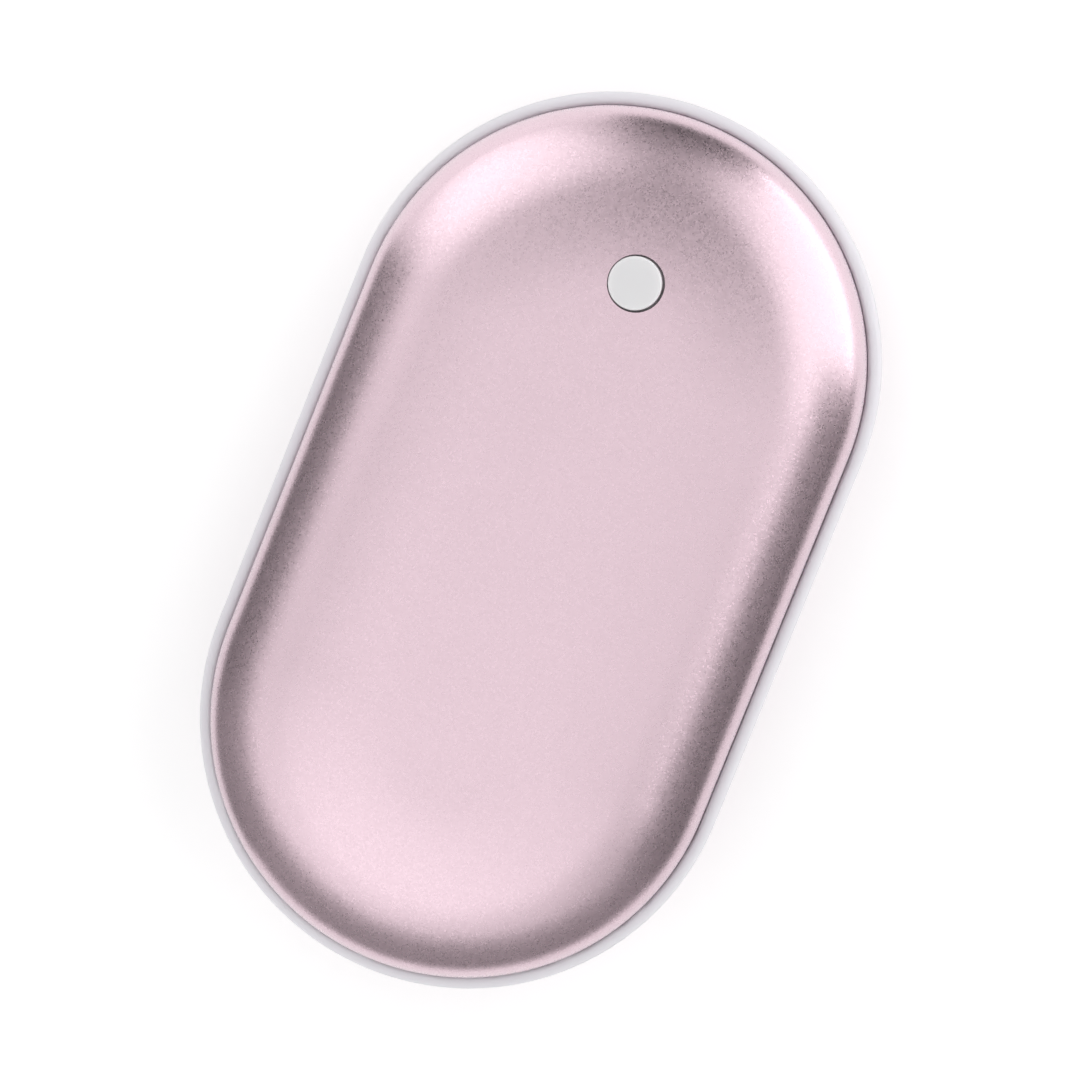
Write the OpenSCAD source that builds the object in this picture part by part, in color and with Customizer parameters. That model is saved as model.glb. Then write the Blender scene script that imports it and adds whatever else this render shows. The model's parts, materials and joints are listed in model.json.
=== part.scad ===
// Rechargeable hand warmer: two domed aluminium shells on a plastic rim frame, with a button in the
// front shell, two cells, two heater films, a main board with both ports and a button board.
// It lies on its back shell. +Z is up through the button, and +Y runs towards the button's end.

/* [Body] */
// Length over the rim
body_l = 98; // [97:0.5:108]
// Width over the rim
body_w = 57; // [56.5:0.5:62]
// Thickness over both shells
body_h = 26; // [25.6:0.2:29]
// Height of the rim band
rim_h = 8.6; // [8.2:0.1:9.4]
// How far the rim stands out past the shells
rim_proud = 1.5; // [1.15:0.05:1.6]
// Rounding of the rim's two edges
rim_round = 0.95; // [0.5:0.05:1]

/* [Shells] */
// Sheet thickness of the aluminium shells
shell_wall = 0.8; // [0.6:0.05:1]
// Straight height of a shell's side above the rim
skirt_h = 0.9; // [0.7:0.1:1.3]
// Angle at which the edge arc meets the shoulder arc
edge_angle = 55; // [52:1:58]
// Radius of the shoulder arc
shoulder_r = 18; // [16:0.5:19]
// Angle at which the shoulder arc meets the crown arc
crown_angle = 80; // [79:0.5:82]
// Radius of the crown arc, which ends in the flat middle
crown_r = 60; // [50:1:70]

/* [Rim frame] */
// Depth of the rebate that takes a shell's edge
rebate_h = 0.6; // [0.4:0.1:0.9]
// Open seam between a shell and the rim's lip
seam_gap = 0.12; // [0.08:0.02:0.2]
// Height of the tongue that locates a shell from inside
tongue_h = 1.8; // [1.4:0.1:2]
// Thickness of the tongue
tongue_wall = 1.1; // [0.9:0.1:1.3]
// Clearance between the tongue and a shell
tongue_gap = 0.12; // [0.08:0.02:0.2]

/* [Button] */
// Distance from the end of the rim to the button's centre
button_inset = 19.5; // [19:0.5:21]
// Diameter of the hole in the front shell
button_hole_d = 6; // [5.7:0.1:6.2]
// Gap round the button in its hole
button_gap = 0.2; // [0.12:0.02:0.24]
// How far the loose cap rests to the left of its hole's middle
cap_aside = 0.1; // [0:0.02:0.1]
// How far the button stands out of the shell
button_proud = 0.4; // [0.3:0.05:0.6]
// Rounding of the button's top edge
button_round = 0.25; // [0.15:0.05:0.3]
// Chamfer round the hole's outer edge
hole_chamfer = 0.15; // [0.1:0.05:0.25]
// Width of the button's flange past its stem
flange_w = 0.9; // [0.7:0.1:1.1]
// Thickness of the button's flange
flange_h = 0.5; // [0.4:0.05:0.6]
// Play between the button's flange and the shell
flange_gap = 0.35; // [0.3:0.05:0.4]
// Travel of the button
button_travel = 0.25; // [0.2:0.05:0.3]

/* [Switch and button board] */
// Side of the square tact switch
switch_w = 4.5; // [4.2:0.1:4.6]
// Height of the switch's body with its cover
switch_h = 1.2; // [1.1:0.05:1.3]
// Thickness of the switch's metal cover
switch_cover_t = 0.2; // [0.15:0.05:0.25]
// Diameter of the switch's plunger
plunger_d = 2.2; // [2:0.1:2.4]
// How far the plunger stands out of the cover
plunger_h = 0.6; // [0.55:0.05:0.7]
// Width of the button board
button_board_w = 10; // [10:0.2:10.6]
// Length of the button board
button_board_l = 17; // [16:0.5:18]
// Thickness of the button board
button_board_t = 0.6; // [0.5:0.05:0.7]
// Wall of the light well round the switch
well_wall = 0.6; // [0.5:0.05:0.65]

/* [Cells] */
// Diameter of a cell's steel can
cell_d = 18.1; // [17.9:0.1:18.2]
// Length of a cell's steel can
cell_l = 64.8; // [64:0.1:65.2]
// Wall of a cell's steel can
can_wall = 0.25; // [0.2:0.05:0.35]
// Height of a cell's positive cap
cap_h = 0.45; // [0.3:0.05:0.5]
// Thickness of a cell's shrink wrap
wrap_t = 0.12; // [0.08:0.02:0.14]
// Gap between the two wrapped cells
cell_gap = 0.4; // [0.3:0.1:0.5]
// Thickness of the nickel strips
strip_t = 0.15; // [0.1:0.05:0.2]
// Width of the nickel strips
strip_w = 7; // [6:0.5:8]

/* [Heaters and pads] */
// Half of the width of a heater film
heater_reach = 17; // [15:0.5:17.5]
// Thickness of a heater film
film_t = 0.2; // [0.15:0.05:0.25]
// Half of the width of an insulation pad
pad_reach = 15; // [12:0.5:16]

/* [Liners] */
// Wall of the liners glued inside the shells
liner_wall = 1.2; // [1:0.1:1.3]
// Where a liner's band starts, from the centre line
liner_reach = 18; // [17.8:0.1:19]
// Thickness of the saddles that hold the cells
saddle_t = 1.6; // [1.2:0.1:2]
// Distance of the saddles from the middle
saddle_y = 15; // [14:0.5:16]
// Width of a snap hook
hook_w = 5; // [4:0.5:5]
// Thickness of a snap hook's arm
hook_t = 1.1; // [0.9:0.1:1.2]
// Distance between neighbouring snap hooks
hook_pitch = 18; // [17:0.5:18]

/* [Screws] */
// Thread diameter of the screws
screw_d = 1.9; // [1.7:0.1:2]
// Diameter of the screw heads
head_d = 3.6; // [3.2:0.1:3.8]
// Height of the screw heads
head_h = 1.2; // [1:0.1:1.4]
// Distance of the liner screws from the middle
liner_screw_y = 9; // [8.5:0.5:9.5]
// Length of the liner screws under their heads
liner_screw_l = 6; // [5:0.5:6.5]
// Length of the board screws under their heads
board_screw_l = 3.4; // [3:0.2:3.6]

/* [Ports] */
// Outer width of the large port's metal shell
usb_a_w = 13.1; // [12.9:0.1:13.2]
// Outer height of the large port's metal shell
usb_a_h = 5.7; // [5.5:0.1:5.8]
// Depth of the large port
usb_a_l = 13.2; // [12:0.2:13.6]
// Outer width of the small port's metal shell
micro_w = 7.5; // [7.3:0.1:7.7]
// Outer height of the small port's metal shell
micro_h = 2.7; // [2.5:0.1:2.9]
// Depth of the small port
micro_l = 5; // [4.6:0.2:5.4]
// Sheet thickness of both metal shells
port_wall = 0.3; // [0.25:0.05:0.35]
// Gap round each port in its window
port_gap = 0.15; // [0.1:0.05:0.25]
// Web of the rim between the two windows
port_web = 2.1; // [2:0.1:2.4]
// Width of the flat recess round the small window
recess_w = 10.8; // [10.4:0.2:11]
// Height of the flat recess round the small window
recess_h = 6.2; // [5.8:0.1:6.2]
// Depth of that recess below the rim's end
recess_depth = 1.4; // [1:0.1:1.6]

/* [Main board] */
// Thickness of the main board
board_t = 1.2; // [1:0.1:1.4]
// Gap between the main board and the frame
board_gap = 0.3; // [0.2:0.05:0.4]

/* [Leads] */
// Diameter of the battery leads
battery_lead_d = 1.3; // [1.1:0.1:1.4]
// Diameter of the heater leads
heater_lead_d = 1; // [0.8:0.1:1.2]
// Width of the flat cable to the button board
ribbon_w = 4; // [3.5:0.5:4.5]

/* [Hidden] */
$fn = 96;

// Gap left between pieces that touch in the real thing
touch = 0.05;
// Overlap that joins two bodies of one piece
join = 0.4;
// Reach of a cutter past what it cuts
past = 2;

// The oval's plan: two half circles about these centres, joined by straight sides
rim_r = body_w / 2;
end_y = (body_l - body_w) / 2;
shell_r = rim_r - rim_proud;
tongue_r = shell_r - shell_wall - tongue_gap;
frame_in_r = tongue_r - tongue_wall;
mid_z = body_h / 2;

// The dome over the rim: edge, shoulder and crown arcs, each tangent to the next
rise = (body_h - rim_h) / 2;
edge_r = (rise - skirt_h - shoulder_r * (sin(crown_angle) - sin(edge_angle))
    - crown_r * (1 - sin(crown_angle))) / sin(edge_angle);
edge_c = [shell_r - edge_r, skirt_h];
shoulder_c = edge_c - (shoulder_r - edge_r) * [cos(edge_angle), sin(edge_angle)];
crown_c = shoulder_c - (crown_r - shoulder_r) * [cos(crown_angle), sin(crown_angle)];

// Insets of the layers under a shell's outer surface
film_out = shell_wall + touch;
film_in = film_out + film_t;
liner_out = shell_wall + 2 * touch;
liner_in = liner_out + liner_wall;
rib_out = film_in + 2 * touch;

// The button and what stands under it
button_y = body_l / 2 - button_inset;
button_r = button_hole_d / 2 - button_gap;
shell_under_z = body_h - shell_wall;
flange_top_z = shell_under_z - flange_gap;
flange_r = button_r + flange_w;
nib_h = 0.5;
nib_d = plunger_d;
plunger_top_z = flange_top_z - flange_h - nib_h;
switch_top_z = plunger_top_z - plunger_h;
button_board_z = switch_top_z - switch_h;
plunger_foot_h = 0.25;
plunger_foot_z = switch_top_z - switch_cover_t - 1.5 * touch - plunger_foot_h;
pocket_z = plunger_foot_z - button_travel - 0.1;
pocket_d = plunger_d + 1;
dome_t = 0.08;
well_in_r = button_board_w / 2 - well_wall;
well_top_z = mid_z + rim_h / 2 + layer_height(film_out, 0, button_y + button_board_w / 2) - touch;
button_board_y = button_y + 1.4;
led_size = [1.6, 0.8, 0.6];
led_x = 1.5;
led_gap = 0.35;
led_at = [
    led_x,
    sqrt(pow(well_in_r - led_gap, 2) - pow(led_x + led_size[0] / 2, 2)) - led_size[1] / 2
];

// The cells lie side by side on the middle plane
wrap_r = cell_d / 2 + wrap_t;
cell_x = wrap_r + cell_gap / 2;
cell_side_x = cell_x + wrap_r;
cell_clear = 0.35;
cell_end_y = end_y + sqrt(pow(frame_in_r - cell_clear, 2) - pow(cell_side_x, 2)) - 0.8;
cell_start_y = cell_end_y - cell_l;
cap_y = cell_start_y - cap_h;
cap_d = 6;
groove_r = 0.8;
groove_at = 3;
crimp_r = cell_d / 2 - 1.7;
seal_r = cell_d / 2 - can_wall - touch / 2;
seal_t = 0.45;
seal_l = 1.7;
seal_lip = 0.5;
strip_l = 2 * cell_x + strip_w;
strip_front_y = cap_y - touch - strip_t;
strip_back_y = cell_end_y + touch;
cell_top = wrap_r - rim_h / 2;

// The main board and the ports through the rim's lower end
board_top_z = mid_z - micro_h / 2;
board_z = board_top_z - board_t;
board_back_y = strip_front_y - 0.5;
ports_w = usb_a_w + micro_w + port_web + 2 * port_gap;
usb_a_x = -ports_w / 2 + usb_a_w / 2;
micro_x = ports_w / 2 - micro_w / 2;
port_reach = ports_w / 2 + port_gap;
port_y = -end_y - sqrt(pow(rim_r, 2) - pow(port_reach, 2));
usb_a_back_y = port_y + usb_a_l;
board_edge_r = frame_in_r - board_gap;
board_screw_inset = 2.4;
board_screw_y = board_back_y - board_screw_inset;
board_screw = [
    sqrt(pow(board_edge_r - board_screw_inset, 2) - pow(board_screw_y + end_y, 2)),
    board_screw_y
];
shelf_h = 3;
// Inside the large port: its block's depth, its tongue's size and tip, and its contacts
block_l = 3.2;
tongue_w = usb_a_w - 2;
tongue_t = 1.84;
tongue_tip = 0.8;
contact_pitch = (tongue_w - 1.1) / 4;
contact_w = 1;
contact_t = 0.2;
contact_setback = 0.75;
screw_gap = 0.06;

// Screw lugs and bosses along the sides
lug_r = 2.6;
boss_r = 2.1;
lug_x = frame_in_r - lug_r;
lug_t = 2;
hook_out_x = frame_in_r - 0.8;
hook_in_x = hook_out_x - hook_t;
ledge_w = 0.6;
ledge_h = 1;
nib_w = 0.55;

// Where the battery lead lands, left of the middle
lead_land_x = 5.5;
// Height over the middle plane at which the lead and the flat cable run between the cells
lead_run_h = 5.9;
ribbon_run_h = 7.2;
// Where the heaters' leads run, on either side of the middle, and how far they bend
heater_lead_x = 12;
heater_lead_bend = 3.6;
curve_steps = 12;

// Places of the small sensors
sensor_d = 1.8;
sensor_l = 3.2;
sensor_at = [10, button_y - 3];
cutoff_size = [4, 6, 1.2];
cutoff_at = [11, end_y + 3];

// Front and back halves share their shapes, drawn upwards from the rim's edge
module front_half() {
    translate([0, 0, mid_z + rim_h / 2])
        children();
}

module back_half() {
    translate([0, 0, mid_z - rim_h / 2])
        mirror([0, 0, 1])
            children();
}

// Carries a profile, drawn outwards from the oval's centre line, round the whole oval
module oval_sweep() {
    for (turn = [0, 180])
        rotate([0, 0, turn])
            translate([0, end_y, 0])
                rotate_extrude(angle = 180)
                    children();
    for (side = [0, 1])
        mirror([side, 0, 0])
            rotate([90, 0, 0])
                linear_extrude(height = 2 * end_y, center = true)
                    children();
}

// Flat oval at a distance r from the centre line
module oval(r) {
    square([2 * r, 2 * end_y], center = true);
    for (side = [-1, 1])
        translate([0, side * end_y])
            circle(r);
}

module oval_plate(r, h) {
    linear_extrude(height = h)
        oval(r);
}

function on_arc(centre, r, angle) = centre + r * [cos(angle), sin(angle)];

// Sector of one arc, from its centre
module sector(centre, r, from, to) {
    intersection() {
        translate(centre)
            circle(r);
        polygon([centre, on_arc(centre, 2 * r, from), on_arc(centre, 2 * r, to)]);
    }
}

// Half of the dome's section, a distance inset under its outer surface and down to foot
module dome_profile(inset, foot) {
    edge = edge_r - inset;
    shoulder = shoulder_r - inset;
    crown = crown_r - inset;
    side = shell_r - inset;
    intersection() {
        translate([0, foot])
            square([rim_r, rise - foot]);
        union() {
            polygon([
                [0, foot],
                [side, foot],
                [side, skirt_h],
                on_arc(edge_c, edge, edge_angle),
                on_arc(shoulder_c, shoulder, crown_angle),
                [crown_c[0], rise - inset],
                [0, rise - inset]
            ]);
            sector(edge_c, edge, 0, edge_angle);
            sector(shoulder_c, shoulder, edge_angle, crown_angle);
            sector(crown_c, crown, crown_angle, 90);
        }
    }
}

// Section of a layer that follows the dome, between two insets
module layer_profile(outer, inner, foot) {
    difference() {
        dome_profile(outer, foot);
        dome_profile(inner, foot - past);
    }
}

// Slab across the straight part of the body, of thickness t and with its middle at y
module slab(y, t) {
    translate([0, y + t / 2, 0])
        rotate([90, 0, 0])
            linear_extrude(height = t)
                children();
}

module both_sides() {
    children();
    mirror([1, 0, 0])
        children();
}

module shell() {
    oval_sweep()
        layer_profile(0, shell_wall, -rebate_h);
}

module rounded_rect(w, h, r) {
    square([w - 2 * r, h], center = true);
    square([w, h - 2 * r], center = true);
    for (x = [-1, 1])
        for (y = [-1, 1])
            translate([x * (w / 2 - r), y * (h / 2 - r)])
                circle(r);
}

module box(low, high) {
    translate(low)
        cube(high - low);
}

// Pan-head screw that points down, with the underside of its head at the origin
module screw(length) {
    tip = 0.8;
    slot_w = 0.5;
    slot_l = 2;
    difference() {
        cylinder(d = head_d, h = head_h);
        for (turn = [0, 90])
            rotate([0, 0, turn])
                translate([-slot_l / 2, -slot_w / 2, head_h / 2])
                    cube([slot_l, slot_w, head_h]);
    }
    translate([0, 0, -length + tip])
        cylinder(d = screw_d, h = length - tip + join);
    translate([0, 0, -length])
        cylinder(d1 = screw_d / 3, d2 = screw_d, h = tip);
}

// Stations along joined cubic curves, each a point and the heading there; a curve is four control points
function on_curve(c, t) = pow(1 - t, 3) * c[0] + 3 * pow(1 - t, 2) * t * c[1]
    + 3 * (1 - t) * t * t * c[2] + pow(t, 3) * c[3];
function slope(c, t) = pow(1 - t, 2) * (c[1] - c[0]) + 2 * (1 - t) * t * (c[2] - c[1])
    + t * t * (c[3] - c[2]);
function unit(v) = v / norm(v);
function stations(curves, steps) = [
    for (k = [0 : len(curves) - 1])
        for (i = [k == 0 ? 0 : 1 : steps])
            [on_curve(curves[k], i / steps), unit(slope(curves[k], i / steps))]
];

// Sweeps a flat section along a route of stations; across is a direction that the route never takes
module sweep(route, section, across) {
    n = len(section);
    last = len(route) - 1;
    points = [
        for (station = route)
            let (
                right = unit(cross(station[1], across)),
                up = cross(right, station[1])
            )
                for (s = section)
                    station[0] + s[0] * right + s[1] * up
    ];
    sides = [
        for (i = [0 : last - 1])
            for (k = [0 : n - 1])
                let (
                    a = i * n + k,
                    b = i * n + (k + 1) % n
                )
                    each [[a, b, b + n], [a, b + n, a + n]]
    ];
    caps = [
        for (k = [1 : n - 2])
            each [[0, k + 1, k], [last * n, last * n + k, last * n + k + 1]]
    ];
    polyhedron(points, concat(sides, caps), convexity = 6);
}

function ring(d, n) = [for (i = [0 : n - 1]) d / 2 * [cos(360 * i / n), sin(360 * i / n)]];

// Casing

module front_shell() {
    hole_r = button_hole_d / 2;
    color("#d9b3ba")
        difference() {
            front_half()
                shell();
            translate([0, button_y, body_h - shell_wall - past])
                cylinder(r = hole_r, h = shell_wall + 2 * past);
            translate([0, button_y, body_h - hole_chamfer])
                cylinder(r1 = hole_r, r2 = hole_r + hole_chamfer + past, h = hole_chamfer + past);
        }
}

module back_shell() {
    color("#d9b3ba")
        back_half()
            shell();
}

// Section of the rim's band with its rebates and tongues, about the middle plane
module rim_profile() {
    half = rim_h / 2;
    flat_r = rim_r - rim_round;
    difference() {
        union() {
            translate([frame_in_r, -half])
                square([flat_r - frame_in_r, rim_h]);
            translate([frame_in_r, rim_round - half])
                square([rim_r - frame_in_r, rim_h - 2 * rim_round]);
            for (side = [-1, 1])
                translate([flat_r, side * (half - rim_round)])
                    circle(rim_round);
        }
        for (side = [0, 1])
            mirror([0, side])
                translate([tongue_r, half - rebate_h])
                    square([shell_r + seam_gap - tongue_r, rebate_h + past]);
    }
    for (side = [0, 1])
        mirror([0, side])
            translate([frame_in_r, half - rebate_h - join])
                square([tongue_wall, tongue_h + join]);
}

// Cuts a window through the rim's lower end, between two places along Y
module port_cut(x, w, h, r, from, to) {
    translate([x, to, mid_z])
        rotate([90, 0, 0])
            linear_extrude(height = to - from)
                rounded_rect(w, h, r);
}

module side_lug() {
    difference() {
        union() {
            cylinder(r = lug_r, h = lug_t);
            translate([0, -lug_r, 0])
                cube([lug_r + join, 2 * lug_r, lug_t]);
        }
        translate([0, 0, -past])
            cylinder(r = screw_d / 2 + 4 * screw_gap, h = lug_t + 2 * past);
    }
}

// Shelf at each side of the lower end that the main board is screwed to
module board_shelf() {
    reach = 3.4;
    difference() {
        intersection() {
            translate([0, 0, board_z - touch - shelf_h])
                oval_plate(frame_in_r + join, shelf_h);
            box([board_screw[0] - 2.6, board_screw[1] - reach, 0], [rim_r, board_screw[1] + 2.4, mid_z]);
        }
        translate([board_screw[0], board_screw[1], 0])
            cylinder(r = screw_d / 2 + screw_gap, h = mid_z);
    }
}

module mid_frame() {
    low = mid_z - rim_h / 2;
    outside_y = -body_l / 2 - past;
    inside_y = -end_y - frame_in_r / 2;
    window_w = 2 * port_gap;
    color("#f1eff2") {
        difference() {
            translate([0, 0, mid_z])
                oval_sweep()
                    rim_profile();
            port_cut(usb_a_x, usb_a_w + window_w, usb_a_h + window_w, 0.5, outside_y, inside_y);
            port_cut(micro_x, micro_w + window_w, micro_h + window_w, 0.3, outside_y, inside_y);
            port_cut(micro_x, recess_w, recess_h, 2.4, outside_y, recess_depth - body_l / 2);
        }
        for (side = [0, 1])
            mirror([side, 0, 0]) {
                for (y = [-liner_screw_y, liner_screw_y])
                    translate([lug_x, y, low])
                        side_lug();
                for (y = [-hook_pitch, 0, hook_pitch])
                    box(
                        [frame_in_r - ledge_w, y - hook_w / 2 - join, mid_z + ledge_h / 2],
                        [frame_in_r + join, y + hook_w / 2 + join, mid_z + 1.5 * ledge_h]
                    );
                board_shelf();
            }
    }
}

// Band that is glued round the inside of a shell, with two saddles that hold the cells
module liner_band() {
    foot = tongue_h - rebate_h + 0.3;
    valley = cell_x - 3;
    oval_sweep()
        intersection() {
            layer_profile(liner_out, liner_in, foot);
            translate([liner_reach, foot])
                square([rim_r, rise]);
        }
    for (y = [-saddle_y, saddle_y])
        slab(y, saddle_t)
            difference() {
                intersection() {
                    both_sides()
                        dome_profile(rib_out, foot);
                    translate([-liner_reach - liner_wall, foot])
                        square([2 * (liner_reach + liner_wall), rise]);
                }
                for (x = [-cell_x, cell_x])
                    translate([x, -rim_h / 2])
                        circle(wrap_r + 2 * touch);
                translate([-valley, foot - past])
                    square([2 * valley, cell_top + 0.2 - foot + past]);
            }
}

// Stem across a slab that ends inside the liner's wall
module liner_stem(from, to, foot) {
    intersection() {
        dome_profile(liner_out + liner_wall / 2, foot);
        translate([from, foot])
            square([to - from, rise - foot]);
    }
}

module snap_hook(y) {
    foot = -rim_h / 2 + ledge_h / 2 - 0.15;
    slab(y, hook_w) {
        liner_stem(hook_in_x, hook_out_x, foot - ledge_h);
        translate([hook_in_x, foot - ledge_h])
            square([hook_t + nib_w, ledge_h]);
    }
}

module front_liner() {
    color("#e8e6e2")
        front_half() {
            liner_band();
            for (side = [0, 1])
                mirror([side, 0, 0])
                    for (y = [-hook_pitch, 0, hook_pitch])
                        snap_hook(y);
        }
}

module back_liner() {
    color("#e8e6e2")
        back_half()
            difference() {
                union() {
                    liner_band();
                    for (side = [0, 1])
                        mirror([side, 0, 0])
                            for (y = [-liner_screw_y, liner_screw_y])
                                slab(y, 2 * boss_r)
                                    liner_stem(lug_x - boss_r, lug_x + boss_r, touch);
                }
                for (x = [-lug_x, lug_x])
                    for (y = [-liner_screw_y, liner_screw_y])
                        translate([x, y, -past])
                            cylinder(r = screw_d / 2 + screw_gap, h = past + liner_screw_l - lug_t + 0.2);
            }
}

module liner_screws() {
    color("#b9b9bd")
        for (x = [-lug_x, lug_x])
            for (y = [-liner_screw_y, liner_screw_y])
                translate([x, y, mid_z - rim_h / 2 + lug_t + touch / 2])
                    screw(liner_screw_l);
}

// Button and switch

module button_cap() {
    stem_h = body_h + button_proud - flange_top_z;
    color("#f4f4f4")
        translate([-cap_aside, button_y, 0]) {
            translate([0, 0, flange_top_z - join])
                rotate_extrude() {
                    square([button_r - button_round, stem_h + join]);
                    square([button_r, stem_h + join - button_round]);
                    translate([button_r - button_round, stem_h + join - button_round])
                        circle(button_round);
                }
            translate([0, 0, flange_top_z - flange_h])
                cylinder(r = flange_r, h = flange_h);
            translate([0, 0, plunger_top_z])
                cylinder(d = nib_d, h = nib_h + join);
        }
}

module light_well() {
    color("#fafafa")
        translate([0, button_y, button_board_z + touch])
            difference() {
                cylinder(r = well_in_r + well_wall, h = well_top_z - button_board_z - touch);
                translate([0, 0, -past])
                    cylinder(r = well_in_r, h = rise + past);
            }
}

module button_board() {
    color("#2f6b46")
        translate([0, button_board_y, button_board_z - button_board_t / 2])
            cube([button_board_w, button_board_l, button_board_t], center = true);
}

module switch_base() {
    body_top = switch_top_z - switch_cover_t - touch;
    foot_z = button_board_z + touch / 2;
    color("#26262a")
        translate([0, button_y, 0])
            difference() {
                box([-switch_w / 2, -switch_w / 2, foot_z], [switch_w / 2, switch_w / 2, body_top]);
                translate([0, 0, pocket_z])
                    cylinder(d = pocket_d, h = rise);
            }
}

// Thin metal cover with four feet that are soldered to the board
module switch_cover() {
    foot_w = 0.7;
    foot_l = 0.5;
    foot_z = button_board_z + touch / 2;
    half = switch_w / 2;
    color("#c9cacc")
        translate([0, button_y, 0]) {
            difference() {
                box([-half, -half, switch_top_z - switch_cover_t], [half, half, switch_top_z]);
                translate([0, 0, switch_top_z - past])
                    cylinder(d = plunger_d + 0.2, h = 2 * past);
            }
            for (side = [0, 1])
                mirror([side, 0, 0])
                    for (y = [-half + foot_w, half - foot_w]) {
                        box(
                            [half + touch, y - foot_w / 2, foot_z],
                            [half + touch + switch_cover_t, y + foot_w / 2, switch_top_z]
                        );
                        box(
                            [half - join, y - foot_w / 2, switch_top_z - switch_cover_t],
                            [half + touch + switch_cover_t, y + foot_w / 2, switch_top_z]
                        );
                        box(
                            [half + touch, y - foot_w / 2, foot_z],
                            [half + foot_l, y + foot_w / 2, foot_z + switch_cover_t]
                        );
                    }
        }
}

module switch_plunger() {
    color("#f0f0ee")
        translate([0, button_y, 0]) {
            translate([0, 0, plunger_foot_z])
                cylinder(d = plunger_d, h = plunger_top_z - plunger_foot_z);
            translate([0, 0, plunger_foot_z])
                cylinder(d = plunger_d + 0.6, h = plunger_foot_h);
        }
}

// Sprung steel disc under the plunger, which snaps flat when it is pressed
module switch_dome() {
    half = pocket_d / 2 - touch;
    crown = plunger_foot_z - touch / 2 - pocket_z - touch / 2;
    ball_r = (half * half + crown * crown) / (2 * crown);
    color("#d5d6d8")
        translate([0, button_y, pocket_z + touch / 2])
            rotate_extrude()
                intersection() {
                    difference() {
                        translate([0, crown - ball_r])
                            circle(ball_r);
                        translate([0, crown - ball_r])
                            circle(ball_r - dome_t);
                    }
                    square([half, crown]);
                }
}

module status_leds() {
    color("#fff3c4")
        for (x = [-led_at[0], led_at[0]])
            for (y = [-led_at[1], led_at[1]])
                translate([x - led_size[0] / 2, button_y + y - led_size[1] / 2, button_board_z + touch / 2])
                    cube(led_size);
}

// Cells

module along_cell(x, y) {
    translate([x, y, mid_z])
        rotate([-90, 0, 0])
            children();
}

// Region inside a can's surface, with the groove rolled in near its open end
module can_outline(inset) {
    difference() {
        translate([0, inset])
            square([cell_d / 2 - inset, cell_l - 2 * inset]);
        translate([cell_d / 2 + groove_r / 2, groove_at])
            circle(groove_r + inset);
    }
}

// Thin steel can, crimped over at its open end
module cell_can(x) {
    color("#a9adb3")
        along_cell(x, cell_start_y)
            rotate_extrude()
                difference() {
                    can_outline(0);
                    can_outline(can_wall);
                    translate([0, -past])
                        square([crimp_r, 2 * past]);
                }
}

module cell_can_left() {
    cell_can(-cell_x);
}

module cell_can_right() {
    cell_can(cell_x);
}

// Wound foils, with the hole left by the winding pin
module cell_roll(x) {
    pin_d = 2.4;
    from = groove_at + 1.2;
    color("#4b4e55")
        along_cell(x, cell_start_y + from)
            difference() {
                cylinder(r = seal_r, h = cell_l - can_wall - 0.3 - from);
                translate([0, 0, -past])
                    cylinder(d = pin_d, h = cell_l + past);
            }
}

module cell_roll_left() {
    cell_roll(-cell_x);
}

module cell_roll_right() {
    cell_roll(cell_x);
}

// Insulating seals between the cans and their caps
module cell_gaskets() {
    color("#e6e6e2")
        for (x = [-cell_x, cell_x])
            along_cell(x, cell_start_y)
                rotate_extrude() {
                    translate([crimp_r, can_wall + touch / 2])
                        square([seal_r - crimp_r, seal_lip]);
                    translate([seal_r - seal_t, can_wall + touch / 2])
                        square([seal_t, seal_l]);
                }
}

module cell_caps() {
    disc_t = 0.5;
    color("#c9cacc")
        for (x = [-cell_x, cell_x])
            along_cell(x, cell_start_y - cap_h) {
                cylinder(d = cap_d, h = cap_h + can_wall + seal_lip + touch + disc_t);
                translate([0, 0, cap_h + can_wall + seal_lip + touch])
                    cylinder(r = seal_r - seal_t - touch / 2, h = disc_t);
            }
}

module cell_wrap(x) {
    lap = 1.6;
    slit = touch / 2;
    color("#8fb7cf")
        along_cell(x, cell_start_y)
            difference() {
                translate([0, 0, slit])
                    cylinder(r = wrap_r, h = cell_l + wrap_t);
                translate([0, 0, -past])
                    cylinder(r = cell_d / 2 + slit, h = cell_l + past + slit);
                cylinder(r = wrap_r - lap, h = cell_l + past);
            }
}

module cell_wrap_left() {
    cell_wrap(-cell_x);
}

module cell_wrap_right() {
    cell_wrap(cell_x);
}

// Paper rings between the positive caps and the cans' rims
module cell_insulators() {
    color("#f3f3ee")
        for (x = [-cell_x, cell_x])
            along_cell(x, cell_start_y - 0.2 - touch / 2)
                difference() {
                    cylinder(d = cell_d - 1, h = 0.2);
                    translate([0, 0, -past])
                        cylinder(d = cap_d + 0.4, h = 2 * past);
                }
}

module strip(y) {
    color("#c4c4c0")
        translate([0, y, mid_z])
            rotate([-90, 0, 0])
                linear_extrude(height = strip_t)
                    rounded_rect(strip_l, strip_w, 1);
}

module nickel_strip_plus() {
    strip(strip_front_y);
}

module nickel_strip_minus() {
    strip(strip_back_y + wrap_t);
}

// Heaters, pads and sensors

module heater_film() {
    oval_sweep()
        intersection() {
            layer_profile(film_out, film_in, 0);
            square([heater_reach, rise]);
        }
}

module front_heater() {
    color("#b9762f")
        difference() {
            front_half()
                heater_film();
            translate([0, button_y, 0])
                cylinder(r = well_in_r + well_wall + 0.6, h = body_h);
        }
}

module back_heater() {
    color("#b9762f")
        back_half()
            heater_film();
}

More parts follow.
